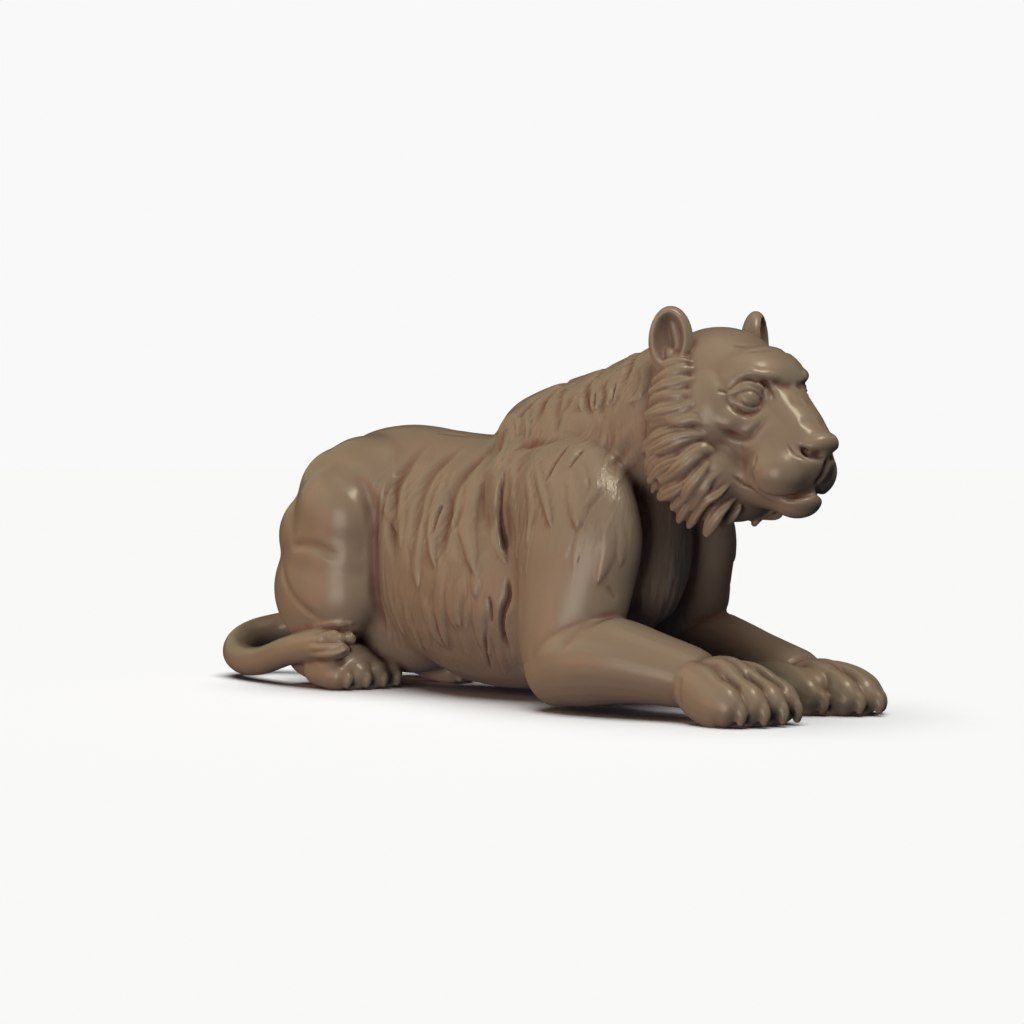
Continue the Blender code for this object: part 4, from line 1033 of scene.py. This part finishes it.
def clay_resin():
    """cast clay-brown resin, with painted shade that darkens the folds and a painted highlight that
    lightens the ridges
    """
    material = bpy.data.materials.new("clay_resin_painted_shade")
    material.use_nodes = True
    tree = material.node_tree
    surface = tree.nodes["Principled BSDF"]
    where = add(tree, "ShaderNodeTexCoord").outputs["Object"]
    crease_shade, ridge_highlight, fur = [add(tree, "ShaderNodeAttribute", {"attribute_name": name}).outputs["Fac"]
                          for name in ("crease_shade", "ridge_highlight", "fur")]

    # the wax lies in clouds about 25 mm across
    clouds = add(tree, "ShaderNodeTexNoise", {}, {"Vector": where, "Scale": 40, "Detail": 3}).outputs["Fac"]
    body_tone = blend(tree, clouds, *[paint(tone) for tone in BODY_TONES])
    # painted highlight lightens the ridges
    ridge_lit_tone = blend(tree, times(tree, ridge_highlight, 0.35), body_tone, paint(RIDGE_HIGHLIGHT_TONE))
    # painted shade darkens the folds
    colour = blend(tree, times(tree, crease_shade, 0.85), ridge_lit_tone, paint(FOLD_SHADE_TONE))
    tree.links.new(colour, surface.inputs["Base Color"])

    # combed strands about 1 mm wide and 12 mm long
    warp = add(tree, "ShaderNodeTexNoise", {}, {"Vector": where, "Scale": 60, "Detail": 1}).outputs["Color"]
    bent = add(tree, "ShaderNodeMix", {"data_type": 'VECTOR', "blend_type": 'MIX'},
               {0: 0.004, 4: where, 5: warp})
    drawn = add(tree, "ShaderNodeMapping", {},
                {"Vector": bent.outputs[1], "Scale": (1, 1, 0.08)}).outputs[0]
    strands = add(tree, "ShaderNodeTexNoise", {},
                  {"Vector": drawn, "Scale": 900, "Detail": 2}).outputs["Fac"]
    hair = add(tree, "ShaderNodeBump", {},
               {"Height": times(tree, strands, fur), "Strength": 0.5, "Distance": 0.0004}).outputs[0]
    # tool marks of the modelled clay, about 2 mm apart
    marks = add(tree, "ShaderNodeTexNoise", {}, {"Vector": where, "Scale": 500, "Detail": 2}).outputs["Fac"]
    bump = add(tree, "ShaderNodeBump", {},
               {"Height": marks, "Normal": hair, "Strength": 0.25, "Distance": 0.00008}).outputs[0]
    tree.links.new(bump, surface.inputs["Normal"])
    rough = add(tree, "ShaderNodeMapRange", {}, {"Value": crease_shade, "To Min": 0.3, "To Max": 0.55}).outputs[0]
    tree.links.new(rough, surface.inputs["Roughness"])
    surface.inputs["IOR"].default_value = 1.45
    surface.inputs["Subsurface Weight"].default_value = 0.15
    surface.inputs["Subsurface Radius"].default_value = (1.0, 0.35, 0.2)
    surface.inputs["Subsurface Scale"].default_value = 0.002
    return material


def soft_light(name, place, aim, size, power, colour):
    """square studio light, size across, that faces its aim"""
    lamp = bpy.data.lights.new(name, 'AREA')
    lamp.size = size
    lamp.energy = power
    lamp.color = colour
    holder = bpy.data.objects.new(name, lamp)
    holder.location = place
    holder.rotation_euler = (Vector(aim) - Vector(place)).to_track_quat('-Z', 'Y').to_euler()
    bpy.context.scene.collection.objects.link(holder)
    return holder


figure = sculpt()
figure.name = "carved_tiger"
figure.data.name = "carved_tiger"
shift = stand(figure)
figure.data.materials.clear()
figure.data.materials.append(clay_resin())
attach(figure, "root")
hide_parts("tiger_figurine")

yaw, rise = math.radians(CAMERA_YAW), math.radians(CAMERA_RISE)
back = Vector((-math.cos(yaw) * math.cos(rise), -math.sin(yaw) * math.cos(rise), math.sin(rise)))
lens = bpy.data.cameras.new("photo_camera")
lens.lens = CAMERA_LENS
lens.sensor_width = FILM_WIDTH
lens.clip_start = 0.01
camera = bpy.data.objects.new("photo_camera", lens)
aim = at(*CAMERA_AIM) + shift
camera.location = aim + back * CAMERA_DISTANCE * MM
camera.rotation_mode = 'QUATERNION'
camera.rotation_quaternion = (-back).to_track_quat('-Z', 'Y')
bpy.context.scene.collection.objects.link(camera)
bpy.context.scene.camera = camera

# floor, and the light that falls on it alone
bpy.ops.object.select_all(action='DESELECT')
bpy.ops.mesh.primitive_plane_add(size=20, location=(0, 0, 0))
floor = bpy.context.object
floor.name = "studio_floor"
matt = bpy.data.materials.new("matt_white_paint")
matt.use_nodes = True
coat_of_paint = matt.node_tree.nodes["Principled BSDF"]
coat_of_paint.inputs["Base Color"].default_value = paint(FLOOR_TONE)
coat_of_paint.inputs["Roughness"].default_value = 0.9
coat_of_paint.inputs["Specular IOR Level"].default_value = 0.0
floor.data.materials.append(matt)
floor.visible_diffuse = False
floor.visible_glossy = False
floor_only = bpy.data.collections.new("floor_only")
floor_only.objects.link(floor)
wash = bpy.data.lights.new("floor_wash", 'SUN')
wash.energy = FLOOR_WASH
wash.angle = math.radians(60)
wash_holder = bpy.data.objects.new("floor_wash", wash)
wash_holder.light_linking.receiver_collection = floor_only
bpy.context.scene.collection.objects.link(wash_holder)

# the lamps light the figure alone
figure_only = bpy.data.collections.new("figure_only")
figure_only.objects.link(figure)
side_way = Vector((math.sin(yaw), -math.cos(yaw), 0))
for name, turn, height, size, power, colour in LAMPS:
    turn, height = math.radians(turn), math.radians(height)
    level = Vector((back.x, back.y, 0)).normalized() * math.cos(turn) + side_way * math.sin(turn)
    way = level * math.cos(height) + Vector((0, 0, 1)) * math.sin(height)
    lamp = soft_light(name, aim + way * LAMP_DISTANCE, aim, size, power, paint(colour)[:3])
    lamp.light_linking.receiver_collection = figure_only
    lamp.light_linking.blocker_collection = figure_only
air = bpy.data.worlds.new("studio_air")
air.use_nodes = True
tree = air.node_tree
seen = add(tree, "ShaderNodeLightPath").outputs["Is Camera Ray"]
air_colour = blend(tree, seen, paint(AIR_TONE), paint(BACKDROP_TONE))
tree.links.new(air_colour, tree.nodes["Background"].inputs["Color"])
bpy.context.scene.world = air
bpy.context.scene.view_settings.view_transform = 'Standard'
